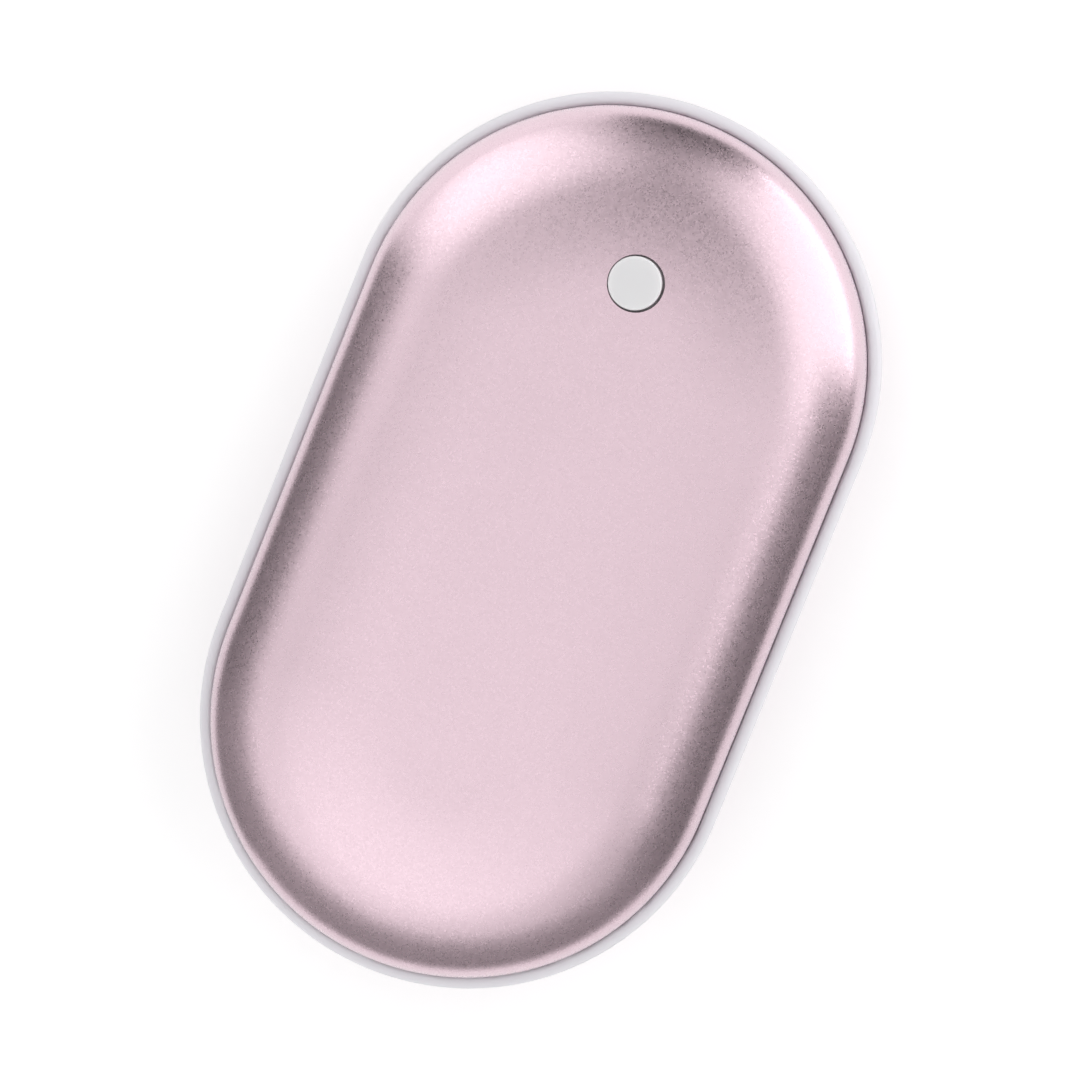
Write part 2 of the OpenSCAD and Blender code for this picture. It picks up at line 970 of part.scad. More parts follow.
// Foam between the cells and a heater film, between the saddles
module pad() {
    foot = cell_top + touch;
    slab(0, 2 * saddle_y - saddle_t - 0.6)
        intersection() {
            both_sides()
                dome_profile(rib_out, foot);
            translate([-pad_reach, foot])
                square([2 * pad_reach, rise]);
        }
}

module front_pad() {
    color("#3b3b3f")
        front_half()
            pad();
}

module back_pad() {
    color("#3b3b3f")
        back_half()
            pad();
}

// Height of the dome's layer over a point, above the rim's edge
function oval_reach(x, y) = abs(y) <= end_y ? abs(x) : norm([x, abs(y) - end_y]);
function layer_height(inset, x, y) = let (r = oval_reach(x, y))
    r <= crown_c[0] ? rise - inset : crown_c[1] + sqrt(pow(crown_r - inset, 2) - pow(r - crown_c[0], 2));

module thermistor() {
    under = mid_z + rim_h / 2 + layer_height(film_in, sensor_at[0] + sensor_d / 2, sensor_at[1] + sensor_l);
    color("#d8862c")
        translate([sensor_at[0], sensor_at[1], under - touch - sensor_d / 2])
            rotate([-90, 0, 0]) {
                cylinder(d = sensor_d, h = sensor_l);
                sphere(d = sensor_d);
            }
}

// Two thin legs from the thermistor to the edge of the button board
module thermistor_leads() {
    d = 0.4;
    under = mid_z + rim_h / 2 + layer_height(film_in, sensor_at[0] + sensor_d / 2, sensor_at[1] + sensor_l);
    z = under - touch - sensor_d / 2;
    start_y = sensor_at[1] + sensor_l + touch;
    end_x = button_board_w / 2 - 0.8;
    land_z = button_board_z + touch / 2 + d / 2;
    color("#d9d9d6")
        for (k = [-1, 1])
            let (
                from = [sensor_at[0] + k * 0.4, start_y, z],
                to = [end_x, start_y + 5.6 + k * 0.5, land_z]
            )
                sweep(
                    stations([[from, from + [0, 3, 0], to + [2.4, 0, 0], to]], 10),
                    ring(d, 6),
                    [0, 0, 1]
                );
}

module thermal_cutoff() {
    corner = cutoff_at + [cutoff_size[0], cutoff_size[1]] / 2;
    over = mid_z - rim_h / 2 - layer_height(film_in, corner[0], corner[1]);
    color("#ece9df")
        translate([cutoff_at[0], cutoff_at[1], over + touch])
            linear_extrude(height = cutoff_size[2])
                rounded_rect(cutoff_size[0], cutoff_size[1], 0.6);
}

// Main board and what is soldered to it

module main_board() {
    slot = 0.1;
    color("#1f5c3d")
        difference() {
            translate([0, 0, board_z])
                linear_extrude(height = board_t)
                    intersection() {
                        oval(board_edge_r);
                        translate([-rim_r, -body_l])
                            square([body_w, body_l + board_back_y]);
                    }
            box(
                [usb_a_x - usb_a_w / 2 - slot, -body_l, board_z - past],
                [usb_a_x + usb_a_w / 2 + slot, usb_a_back_y + slot, board_top_z + past]
            );
            for (x = [-board_screw[0], board_screw[0]])
                translate([x, board_screw[1], board_z - past])
                    cylinder(r = screw_d / 2 + 2 * screw_gap, h = board_t + 2 * past);
        }
}

module board_screws() {
    color("#b9b9bd")
        for (x = [-board_screw[0], board_screw[0]])
            translate([x, board_screw[1], board_top_z + touch / 2])
                screw(board_screw_l);
}

// Large port: a folded metal shell with four spring leaves and a foot at each side
module usb_a_shell() {
    inner_w = usb_a_w - 2 * port_wall;
    inner_h = usb_a_h - 2 * port_wall;
    leaf_w = 1.8;
    leaf_l = 4.6;
    leaf_gap = 0.35;
    leaf_x = 3.2;
    leaf_y = 2.4;
    foot_l = 1.6;
    foot_w = 1.2;
    // The front feet start at the board's edge
    foot_reach = usb_a_w / 2 + foot_w - usb_a_x;
    foot_y = -end_y - sqrt(pow(board_edge_r, 2) - pow(foot_reach, 2)) - port_y + touch;
    color("#cfd0d2")
        translate([usb_a_x, port_y, mid_z]) {
            difference() {
                rotate([-90, 0, 0])
                    linear_extrude(height = usb_a_l)
                        difference() {
                            rounded_rect(usb_a_w, usb_a_h, 0.6);
                            rounded_rect(inner_w, inner_h, 0.35);
                        }
                for (x = [-leaf_x, leaf_x])
                    translate([x - leaf_w / 2 - leaf_gap, leaf_y, -usb_a_h])
                        cube([leaf_w + 2 * leaf_gap, leaf_l + leaf_gap, 2 * usb_a_h]);
            }
            for (x = [-leaf_x, leaf_x])
                for (side = [0, 1])
                    mirror([0, 0, side])
                        translate([x - leaf_w / 2, leaf_y - join, inner_h / 2])
                            cube([leaf_w, leaf_l + join, port_wall]);
            for (side = [0, 1])
                mirror([side, 0, 0])
                    for (y = [foot_y, usb_a_l - foot_l - 1])
                        box(
                            [usb_a_w / 2 - port_wall / 2, y, board_top_z + touch / 2 - mid_z],
                            [usb_a_w / 2 + foot_w, y + foot_l, board_top_z + touch / 2 + port_wall - mid_z]
                        );
        }
}

// Insulating block at the back of the large port, with its tongue
module usb_a_insulator() {
    inner_w = usb_a_w - 2 * port_wall - 2 * touch;
    inner_h = usb_a_h - 2 * port_wall - 2 * touch;
    color("#f5f5f3")
        translate([usb_a_x, port_y, mid_z]) {
            translate([0, usb_a_l - block_l, 0])
                rotate([-90, 0, 0])
                    linear_extrude(height = block_l)
                        rounded_rect(inner_w, inner_h, 0.3);
            difference() {
                box([-tongue_w / 2, tongue_tip, 0], [tongue_w / 2, usb_a_l - block_l + join, tongue_t]);
                usb_a_pins()
                    box(
                        [-contact_w / 2 - touch, tongue_tip + contact_setback - touch, -past],
                        [contact_w / 2 + touch, usb_a_l - block_l, contact_t + touch]
                    );
            }
        }
}

// The outer two contacts stand further out than even steps
module usb_a_pins() {
    for (side = [-1, 1], k = [0.4, 1.4])
        translate([side * k * contact_pitch, 0, 0])
            children();
}

module usb_a_contacts() {
    color("#d4af5a")
        translate([usb_a_x, port_y, mid_z])
            usb_a_pins()
                box(
                    [-contact_w / 2, tongue_tip + contact_setback, touch],
                    [contact_w / 2, usb_a_l - block_l - touch, contact_t]
                );
}

// Outline of the small port, wider at the top
module micro_outline(inset) {
    half_w = micro_w / 2 - inset;
    half_h = micro_h / 2 - inset;
    cut = 0.85;
    polygon([
        [-half_w, half_h],
        [half_w, half_h],
        [half_w, cut - half_h],
        [half_w - cut, -half_h],
        [cut - half_w, -half_h],
        [-half_w, cut - half_h]
    ]);
}

module micro_usb_shell() {
    foot_l = 0.9;
    foot_w = 0.5;
    foot_z = board_top_z + touch / 2 - mid_z;
    color("#cfd0d2")
        translate([micro_x, port_y, mid_z]) {
            translate([0, micro_l, touch / 2])
                rotate([90, 0, 0])
                    linear_extrude(height = micro_l)
                        difference() {
                            micro_outline(0);
                            micro_outline(port_wall);
                        }
            for (side = [0, 1])
                mirror([side, 0, 0])
                    box(
                        [micro_w / 2 - 0.9, micro_l - foot_l, foot_z],
                        [micro_w / 2 + foot_w, micro_l, foot_z + port_wall]
                    );
        }
}

module micro_usb_insulator() {
    block_l = 1.2;
    tongue_w = 3.7;
    tongue_t = 0.55;
    color("#2b2b2e")
        translate([micro_x, port_y, mid_z + touch / 2]) {
            translate([0, micro_l, 0])
                rotate([90, 0, 0])
                    linear_extrude(height = block_l)
                        micro_outline(port_wall + touch);
            box([-tongue_w / 2, 0.5, 0.1], [tongue_w / 2, micro_l - block_l + join, 0.1 + tongue_t]);
        }
}

module micro_usb_contacts() {
    pitch = 0.65;
    color("#d4af5a")
        translate([micro_x, port_y, mid_z])
            for (k = [-2 : 2])
                box([k * pitch - 0.18, 0.8, -0.05], [k * pitch + 0.18, micro_l - 1.3, 0.1]);
}

// Chip with a row of legs along each side, lying along Y
module small_chip(l, w, h, legs, pitch) {
    leg_w = 0.35;
    translate([-w / 2, -l / 2, 0.1])
        cube([w, l, h]);
    for (side = [0, 1])
        mirror([side, 0, 0])
            for (k = [0 : legs - 1])
                translate([w / 2 - 0.2, (k - (legs - 1) / 2) * pitch - leg_w / 2, 0]) {
                    translate([0, 0, h / 2])
                        cube([0.6, leg_w, 0.2]);
                    translate([0.4, 0, 0])
                        cube([0.2, leg_w, h / 2 + 0.2]);
                    translate([0.4, 0, 0])
                        cube([0.6, leg_w, 0.2]);
                }
}

module on_board(x, y) {
    translate([x, y, board_top_z + touch / 2])
        children();
}

module charge_chip() {
    chip_w = 3;
    chip_gap = 2.5;
    chip_setback = 5.8;
    color("#2a2a2d")
        on_board(usb_a_x - usb_a_w / 2 - chip_gap - chip_w / 2, board_back_y - chip_setback)
            small_chip(chip_w, chip_w, 1, 4, 0.65);
}

module heater_transistors() {
    color("#2a2a2d")
        for (k = [0, 1])
            on_board(micro_x + 4.9, board_back_y - 5 - 3.9 * k)
                small_chip(2.9, 1.4, 1, 2, 1.9);
}

module power_inductor() {
    side = 5;
    height = 2.6;
    color("#54565a")
        on_board(micro_x - 1.6, board_back_y - 6.2) {
            linear_extrude(height = 0.8)
                rounded_rect(side, side, 1);
            cylinder(d = 3.2, h = height);
            translate([0, 0, height - 0.7])
                cylinder(d = side - 0.2, h = 0.7);
        }
}

module board_capacitors() {
    color("#c2a37a")
        for (k = [0 : 3])
            on_board(micro_x - 3.4 + 1.9 * k, board_back_y - 1.9)
                translate([-0.6, -1, 0])
                    cube([1.2, 2, 1]);
}

// Leads

module battery_lead_plus() {
    land = [-lead_land_x, board_back_y - 1.3, board_top_z + touch];
    weld = [-lead_land_x / 2, strip_front_y - touch, mid_z + 2];
    color("#c22f2f")
        sweep(
            stations([[weld, weld - [0, 1, 0], land + [0, 0, 2.4], land]], curve_steps),
            ring(battery_lead_d, 8),
            [1, 0, 0]
        );
}

// Runs back over the cells, in the valley between them
module battery_lead_minus() {
    run_z = mid_z + lead_run_h;
    weld = [0, strip_back_y + wrap_t + strip_t + touch, mid_z + 1.5];
    bend_back = [0, cell_end_y - 3, run_z];
    bend_front = [0, cell_start_y + 5, run_z];
    land = [0, board_back_y - 1, board_top_z + touch];
    color("#2c2c2e")
        sweep(
            stations([
                [weld, weld + [0, 4.2, 0], bend_back + [0, 7.6, 0], bend_back],
                [bend_back, bend_back - [0, 9, 0], bend_front + [0, 9, 0], bend_front],
                [bend_front, bend_front - [0, 5.6, 0], land + [0, 0, 6.4], land]
            ], curve_steps),
            ring(battery_lead_d, 8),
            [1, 0, 0]
        );
}

module heater_leads(turn, from_z, land_z) {
    pitch = heater_lead_d + 0.6;
    for (k = [0, 1])
        let (
            x = turn * (heater_lead_x + k * pitch),
            from = [x, cell_start_y + 1, from_z],
            to = [x, board_back_y - 1.2, land_z],
            rise_to = sign(from_z - land_z)
        )
            sweep(
                stations([[from, from - [0, heater_lead_bend, 0], to + [0, 0, 5 * rise_to], to]], curve_steps),
                ring(heater_lead_d, 8),
                [1, 0, 0]
            );
}

module front_heater_leads() {
    film = mid_z + rim_h / 2 + layer_height(film_in, heater_lead_x + 2, cell_start_y + 1);
    color("#e9e4da")
        heater_leads(1, film - touch - heater_lead_d / 2 - 0.3, board_top_z + touch / 2);
}

module back_heater_leads() {
    film = mid_z - rim_h / 2 - layer_height(film_in, heater_lead_x + 2, cell_start_y + 1);
    color("#e9e4da")
        heater_leads(-1, film + touch + heater_lead_d / 2 + 0.3, board_z - touch / 2);
}

// Flat cable from the button board, over the valley between the cells, down to the main board
module button_ribbon() {
    t = 0.3;
    run_z = mid_z + ribbon_run_h;
    weld_z = button_board_z - button_board_t - (t + touch) / 2;
    weld = [0, button_board_y - button_board_l / 2 + 0.2, weld_z];
    bend_back = [0, weld[1] - 5, run_z];
    bend_front = [0, cell_start_y + 2.5, run_z];
    land = [0, board_back_y - 2.7, board_top_z + touch];
    half = ribbon_w / 2;
    color("#ddd6c3")
        sweep(
            stations([
                [weld, weld - [0, 2, 0], bend_back + [0, 2, 0], bend_back],
                [bend_back, bend_back - [0, 9, 0], bend_front + [0, 9, 0], bend_front],
                [bend_front, bend_front - [0, 6.6, 0], land + [0, 0, 6], land]
            ], curve_steps),
            [[-t / 2, -half], [t / 2, -half], [t / 2, half], [-t / 2, half]],
            [1, 0, 0]
        );
}

front_shell();
back_shell();
mid_frame();
front_liner();
back_liner();
liner_screws();
button_cap();
light_well();
button_board();
switch_base();
switch_cover();
switch_plunger();
status_leds();
switch_dome();
cell_can_left();
cell_can_right();
cell_roll_left();
cell_roll_right();
cell_caps();
cell_gaskets();
cell_wrap_left();
cell_wrap_right();
cell_insulators();
nickel_strip_plus();
nickel_strip_minus();
battery_lead_plus();
battery_lead_minus();
front_heater();
back_heater();
front_pad();
back_pad();
front_heater_leads();
back_heater_leads();
thermistor();
thermistor_leads();
thermal_cutoff();
main_board();
board_screws();
usb_a_shell();
usb_a_insulator();
usb_a_contacts();
micro_usb_shell();
micro_usb_insulator();
micro_usb_contacts();
charge_chip();
heater_transistors();
power_inductor();
board_capacitors();
button_ribbon();
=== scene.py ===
import json
import math

import bmesh
import bpy
from bpy.props import FloatProperty, FloatVectorProperty, IntProperty, PointerProperty
from mathutils import Matrix, Vector


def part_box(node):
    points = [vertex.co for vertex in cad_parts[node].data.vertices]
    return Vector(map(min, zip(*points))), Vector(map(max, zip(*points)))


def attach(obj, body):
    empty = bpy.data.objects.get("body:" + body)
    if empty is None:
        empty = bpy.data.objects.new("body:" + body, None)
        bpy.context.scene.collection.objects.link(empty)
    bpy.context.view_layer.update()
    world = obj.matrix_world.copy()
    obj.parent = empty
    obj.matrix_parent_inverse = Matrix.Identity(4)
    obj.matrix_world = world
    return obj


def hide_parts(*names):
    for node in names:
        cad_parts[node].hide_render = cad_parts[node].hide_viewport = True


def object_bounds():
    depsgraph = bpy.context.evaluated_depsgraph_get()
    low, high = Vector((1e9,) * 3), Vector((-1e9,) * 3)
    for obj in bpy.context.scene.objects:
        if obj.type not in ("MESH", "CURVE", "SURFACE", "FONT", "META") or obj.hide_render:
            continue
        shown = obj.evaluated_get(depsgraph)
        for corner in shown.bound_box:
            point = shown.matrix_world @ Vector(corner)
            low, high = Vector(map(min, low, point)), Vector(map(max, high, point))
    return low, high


bl_info = {
    "name": "Hand warmer",
    "version": (1, 0, 0),
    "blender": (4, 5, 0),
    "location": "3D View > Sidebar > Hand warmer",
    "description": "Dresses the hand warmer's frame and sets up its studio",
    "category": "Object",
}

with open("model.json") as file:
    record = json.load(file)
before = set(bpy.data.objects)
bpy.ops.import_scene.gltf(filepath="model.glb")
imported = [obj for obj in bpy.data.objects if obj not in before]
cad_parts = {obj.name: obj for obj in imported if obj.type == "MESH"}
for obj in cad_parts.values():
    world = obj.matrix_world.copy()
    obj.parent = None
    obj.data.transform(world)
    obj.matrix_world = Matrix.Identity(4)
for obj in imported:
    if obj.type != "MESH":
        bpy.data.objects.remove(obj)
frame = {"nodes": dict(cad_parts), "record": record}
NODES = frame["nodes"]
CAD_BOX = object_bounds()
MM = 0.001
SHELL_LOW, SHELL_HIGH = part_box("front_shell")
SHELL_SIZE = SHELL_HIGH - SHELL_LOW
BACK_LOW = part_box("back_shell")[0]
CAP_LOW, CAP_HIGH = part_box("button_cap")


def length(name, about, default, low=0.0, high=1.0):
    """A length in metres."""
    return FloatProperty(
        name=name, description=about, default=default, min=low, max=high, unit="LENGTH", precision=5
    )


def share(name, about, default):
    """A number from 0 to 1."""
    return FloatProperty(
        name=name, description=about, default=default, min=0.0, max=1.0, subtype="FACTOR"
    )


def angle(name, about, degrees):
    """An angle, which is written here in degrees."""
    return FloatProperty(
        name=name, description=about, default=math.radians(degrees), subtype="ANGLE", unit="ROTATION"
    )


def tint(name, about, default):
    """A colour in linear red, green and blue."""
    return FloatVectorProperty(
        name=name, description=about, default=default, size=3, min=0.0, max=1.0, subtype="COLOR"
    )


def shift(name, default):
    """A shift of the lens, in widths of the picture."""
    return FloatProperty(name=name, description="Lens shift, in pictures", default=default, precision=5)


class WarmerSizes(bpy.types.PropertyGroup):
    """Sizes of the pieces that are drawn anew"""

    side_r: length("Shell radius", "Half of the width over a shell", SHELL_SIZE.x / 2)
    end_y: length(
        "Straight half", "Half of the length of the straight sides", (SHELL_SIZE.y - SHELL_SIZE.x) / 2
    )
    foot_z: length("Foot of the shell", "Height of a front shell's edge", SHELL_LOW.z)
    top_z: length("Top of the shell", "Height of the front shell's flat middle", SHELL_HIGH.z)
    rebate: length("Rebate", "Depth of a shell's edge in the rim", 0.6 * MM)
    wall: length("Shell wall", "Sheet thickness of the shells", 0.8 * MM)
    skirt: length("Skirt", "Straight height of a shell's side above the rim", 0.9 * MM)
    edge_angle: angle("Edge angle", "Where the edge arc meets the shoulder arc", 55.0)
    shoulder_r: length("Shoulder radius", "Radius of the shoulder arc", 18 * MM)
    crown_angle: angle("Crown angle", "Where the shoulder arc meets the crown arc", 80.0)
    crown_r: length("Crown radius", "Radius of the crown arc", 60 * MM)
    hole_d: length("Button hole", "Diameter of the hole in the front shell", 6 * MM)
    turn_steps: IntProperty(
        name="Turn steps", description="Steps in a half turn", default=96, min=8, max=240
    )


class WarmerFinishes(bpy.types.PropertyGroup):
    """Colours and surface grain"""

    shell: tint("Shell", "Rose-gold anodised aluminium", (0.825, 0.624, 0.701))
    rim: tint("Rim", "Milky plastic of the rim frame", (0.79, 0.772, 0.812))
    button: tint("Button", "Button plastic", (0.765, 0.76, 0.77))
    grain: length("Shell grain", "Size of the blasted facets on the shells", 0.13 * MM)
    tilt: share("Facet tilt", "How far the blasted facets lean out of the surface", 0.03)
    roughness: share("Shell roughness", "Roughness of the blasted metal", 0.335)
    roughness_step: share("Roughness spread", "How far the facets' roughness spreads each way", 0.075)


class WarmerStudio(bpy.types.PropertyGroup):
    """Camera and light"""

    distance: length("Camera distance", "From the middle of the object", 0.480, 0.1, 5.0)
    focal: FloatProperty(
        name="Focal length", description="Lens in millimetres on a 36 mm sensor", default=150.41
    )
    shift_x: shift("Shift right", -0.00025)
    shift_y: shift("Shift up", 0.00131)
    lean_x: angle("Lean to the right", "Camera's lean towards the right side", 3.5)
    lean_y: angle("Lean to the top", "Camera's lean towards the button's end", 4.85)
    turn: angle("Turn", "Turn of the object clockwise in the picture", 21.937)
    floor_colour: tint("Floor", "Colour of the floor", (0.82, 0.82, 0.82))
    floor_glow: share("Floor glow", "How much paler the camera sees the floor", 0.45)
    floor_reflected: share("Reflected glow", "Share of that glow that reflections see", 0.6)


def sizes():
    return bpy.context.scene.warmer_sizes


def finishes():
    return bpy.context.scene.warmer_finishes


def studio():
    return bpy.context.scene.warmer_studio


# Node trees


def node(tree, kind, inputs=None, **settings):
    """A node with its settings and inputs; an input is a value or another node's output."""
    made = tree.nodes.new(kind)
    for name, value in settings.items():
        setattr(made, name, value)
    for key, value in (inputs or {}).items():
        join(tree, made.inputs[key], value)
    return made


def join(tree, socket, value):
    """Links an output to a socket, or sets the socket to a plain value."""
    if isinstance(value, bpy.types.NodeSocket):
        tree.links.new(value, socket)
    else:
        socket.default_value = value


def maths(tree, operation, *values):
    """Output of a sum over values or other nodes' outputs."""
    made = tree.nodes.new("ShaderNodeMath")
    made.operation = operation
    for socket, value in zip(made.inputs, values):
        join(tree, socket, value)
    return made.outputs[0]


def between(tree, value, low, high, out_low=0.0, out_high=1.0, smooth=False):
    """Maps a range onto another one, and holds the ends."""
    made = node(tree, "ShaderNodeMapRange", {0: value, 1: low, 2: high, 3: out_low, 4: out_high})
    if smooth:
        made.interpolation_type = "SMOOTHSTEP"
    return made.outputs[0]


def blend(tree, fac, first, second):
    """Mix of two numbers."""
    return node(tree, "ShaderNodeMix", {0: fac, 2: first, 3: second}, data_type="FLOAT").outputs[0]


def blend_colours(tree, fac, first, second):
    """Mix of two colours, of which each is a tuple or another node's output."""
    made = node(tree, "ShaderNodeMix", data_type="RGBA")
    for index, value in ((0, fac), (6, first), (7, second)):
        join(tree, made.inputs[index], rgba(value) if isinstance(value, tuple) else value)
    return made.outputs[2]


def rgba(colour):
    return (*tuple(colour)[:3], 1.0)


def new_group(name, inputs, outputs, kind="ShaderNodeTree"):
    """A node group, the outputs of its input node, and the inputs of its output node."""
    tree = bpy.data.node_groups.new(name, kind)
    for label, socket_type, default in inputs:
        made = tree.interface.new_socket(label, in_out="INPUT", socket_type=socket_type)
        if default is not None:
            made.default_value = default
    for label, socket_type in outputs:
        tree.interface.new_socket(label, in_out="OUTPUT", socket_type=socket_type)
    return tree, tree.nodes.new("NodeGroupInput").outputs, tree.nodes.new("NodeGroupOutput").inputs


# How the noise, which keeps to the middle of its range, spreads over 0 to 1
NOISE_RANGE = (0.3, 0.7)
# Noises: name, detail, roughness, and how much each axis counts
FINE_GRAIN = ("Fine grain", 1.5, 0.6, (1.0, 1.0, 1.0))
SLOW_DRIFT = ("Slow drift", 3.0, 0.55, (1.0, 1.0, 1.0))
BRUSHED_LINES = ("Brushed lines", 2.0, 0.5, (0.04, 1.0, 1.0))
# Turns the first part of a facet's random colour into a number of its own
RESHUFFLE = 7.31


def sparkle_group():
    """Blasted metal: every grain is a small facet with its own tilt and its own share of roughness."""
    name = "Blasted facets"
    if name in bpy.data.node_groups:
        return bpy.data.node_groups[name]
    tree, given, result = new_group(
        name,
        [
            ("Place", "NodeSocketVector", None),
            ("Size", "NodeSocketFloat", 0.0001),
            ("Tilt", "NodeSocketFloat", 0.1),
        ],
        [("Normal", "NodeSocketVector"), ("Share", "NodeSocketFloat")],
    )
    scale = maths(tree, "DIVIDE", 1.0, given["Size"])
    cells = node(tree, "ShaderNodeTexVoronoi", {"Vector": given["Place"], "Scale": scale})
    chance = cells.outputs["Color"]
    centred = node(tree, "ShaderNodeVectorMath", {0: chance, 1: (0.5, 0.5, 0.5)}, operation="SUBTRACT")
    tilt = node(tree, "ShaderNodeVectorMath", {0: centred.outputs[0]}, operation="SCALE")
    join(tree, tilt.inputs["Scale"], maths(tree, "MULTIPLY", given["Tilt"], 2.0))
    straight = tree.nodes.new("ShaderNodeNewGeometry").outputs["Normal"]
    leant = node(tree, "ShaderNodeVectorMath", {0: straight, 1: tilt.outputs[0]}, operation="ADD")
    unit = node(tree, "ShaderNodeVectorMath", {0: leant.outputs[0]}, operation="NORMALIZE")
    join(tree, result["Normal"], unit.outputs[0])
    first = node(tree, "ShaderNodeSeparateXYZ", {0: chance}).outputs["X"]
    join(tree, result["Share"], maths(tree, "FRACT", maths(tree, "MULTIPLY", first, RESHUFFLE)))
    return tree


def noise_group(name, detail, roughness, axes):
    """Noise over a place: its height for bumps, and its share from 0 to 1."""
    if name in bpy.data.node_groups:
        return bpy.data.node_groups[name]
    tree, given, result = new_group(
        name,
        [("Place", "NodeSocketVector", None), ("Size", "NodeSocketFloat", 0.0002)],
        [("Height", "NodeSocketFloat"), ("Share", "NodeSocketFloat")],
    )
    place = node(tree, "ShaderNodeVectorMath", {0: given["Place"], 1: axes}, operation="MULTIPLY")
    noise = node(
        tree, "ShaderNodeTexNoise",
        {
            "Vector": place.outputs[0], "Scale": maths(tree, "DIVIDE", 1.0, given["Size"]),
            "Detail": detail, "Roughness": roughness,
        },
    ).outputs["Fac"]
    join(tree, result["Height"], noise)
    join(tree, result["Share"], between(tree, noise, *NOISE_RANGE))
    return tree


def placed(tree, group, place, size, **more):
    """Outputs of a pattern's group at a place, with its grain in metres."""
    made = tree.nodes.new("ShaderNodeGroup")
    made.node_tree = group
    join(tree, made.inputs["Place"], place)
    made.inputs["Size"].default_value = size
    for label, value in more.items():
        made.inputs[label].default_value = value
    return made.outputs


class Finish:
    """One material: its tree, its shader and the place that its patterns read."""

    def __init__(self, name, colour, roughness, metallic=0.0):
        self.material = bpy.data.materials.new(name)
        self.material.use_nodes = True
        self.material.diffuse_color = rgba(colour)
        self.tree = self.material.node_tree
        self.shader = self.tree.nodes["Principled BSDF"]
        self.place = self.tree.nodes.new("ShaderNodeTexCoord").outputs["Object"]
        self.colour = tuple(colour)
        self.roughness = roughness
        self.set("Base Color", rgba(colour))
        self.set("Roughness", roughness)
        self.set("Metallic", metallic)

    def set(self, socket, value):
        join(self.tree, self.shader.inputs[socket], value)

    def drift(self, size, towards, amount):
        """Lets the colour drift towards another one by up to an amount."""
        drift = placed(self.tree, noise_group(*SLOW_DRIFT), self.place, size)["Share"]
        part = maths(self.tree, "MULTIPLY", drift, amount)
        self.colour = blend_colours(self.tree, part, self.colour, tuple(towards))
        self.set("Base Color", self.colour)

    def bump(self, height, depth):
        """Raises the surface, for light only, by a height from 0 to 1 times a depth."""
        made = node(self.tree, "ShaderNodeBump", {"Height": height, "Distance": depth})
        self.set("Normal", made.outputs[0])

    def spread(self, part, step):
        """Lets the roughness vary by a step to both sides, with a share from 0 to 1."""
        low, high = self.roughness - step, self.roughness + step
        self.set("Roughness", between(self.tree, part, 0.0, 1.0, low, high))

    def grain(self, size, depth, step=0.05, noise=FINE_GRAIN):
        """Bumps and roughness of a noise."""
        made = placed(self.tree, noise_group(*noise), self.place, size)
        self.bump(made["Height"], depth)
        self.spread(made["Share"], step)


def shell_finish(name):
    """Rose-gold anodised aluminium, blasted to fine facets that sparkle."""
    look = finishes()
    made = Finish(name, look.shell, look.roughness, 1.0)
    made.drift(12 * MM, [c * 0.96 for c in look.shell], 0.5)
    facets = placed(made.tree, sparkle_group(), made.place, look.grain, Tilt=look.tilt)
    made.set("Normal", facets["Normal"])
    made.spread(facets["Share"], look.roughness_step)
    made.set("Coat Weight", 1.0)
    made.set("Coat Roughness", look.roughness)
    return made.material


def milky_finish(name, look, grain, roughness):
    """Plastic that light goes into; its colour is one of the panel's."""
    colour = getattr(finishes(), look)
    made = Finish(name, colour, roughness)
    made.drift(9 * MM, [c * 0.97 for c in colour], 0.6)
    made.grain(grain, 0.002 * MM, 0.04)
    made.set("Subsurface Weight", 0.45)
    made.set("Subsurface Radius", (1.0, 0.92, 0.95))
    made.set("Subsurface Scale", 1.1 * MM)
    made.set("IOR", 1.49)
    return made.material


def tracks(made, pitch, width, colour):
    """Parallel tracks across the place, in another colour and slightly raised."""
    tree = made.tree
    across = node(tree, "ShaderNodeSeparateXYZ", {0: made.place}).outputs["X"]
    phase = maths(tree, "FRACT", maths(tree, "DIVIDE", across, pitch))
    line = maths(tree, "COMPARE", phase, 0.5, width / pitch / 2)
    made.set("Base Color", blend_colours(tree, line, made.colour, colour))
    made.bump(line, 0.01 * MM)
    return line


def heater_finish(name):
    """Orange film with the parallel tracks of a printed heater."""
    made = Finish(name, (0.62, 0.26, 0.06), 0.3)
    made.drift(6 * MM, (0.5, 0.18, 0.04), 0.6)
    line = tracks(made, 1.6 * MM, 0.9 * MM, (0.28, 0.16, 0.07))
    made.set("Roughness", between(made.tree, line, 0.0, 1.0, 0.28, 0.4))
    made.set("Coat Weight", 0.4)
    return made.material


# Copper areas in a metre of a board, and pores in a metre of foam
BOARD_AREAS = 700.0
FOAM_PORES = 2600.0
# Thickness of a wound pair of foils
FOIL_PAIR = 0.12 * MM


def board_finish(name):
    """Green solder mask over areas of copper."""
    made = Finish(name, (0.02, 0.13, 0.05), 0.35)
    made.drift(4 * MM, (0.03, 0.2, 0.08), 0.8)
    tree = made.tree
    cells = node(tree, "ShaderNodeTexVoronoi", {"Vector": made.place, "Scale": BOARD_AREAS})
    cells.distance = "MANHATTAN"
    edge = between(tree, cells.outputs["Distance"], 0.42, 0.46)
    made.set("Base Color", blend_colours(tree, edge, made.colour, (0.06, 0.32, 0.12)))
    made.bump(edge, 0.03 * MM)
    made.set("Coat Weight", 0.3)
    return made.material


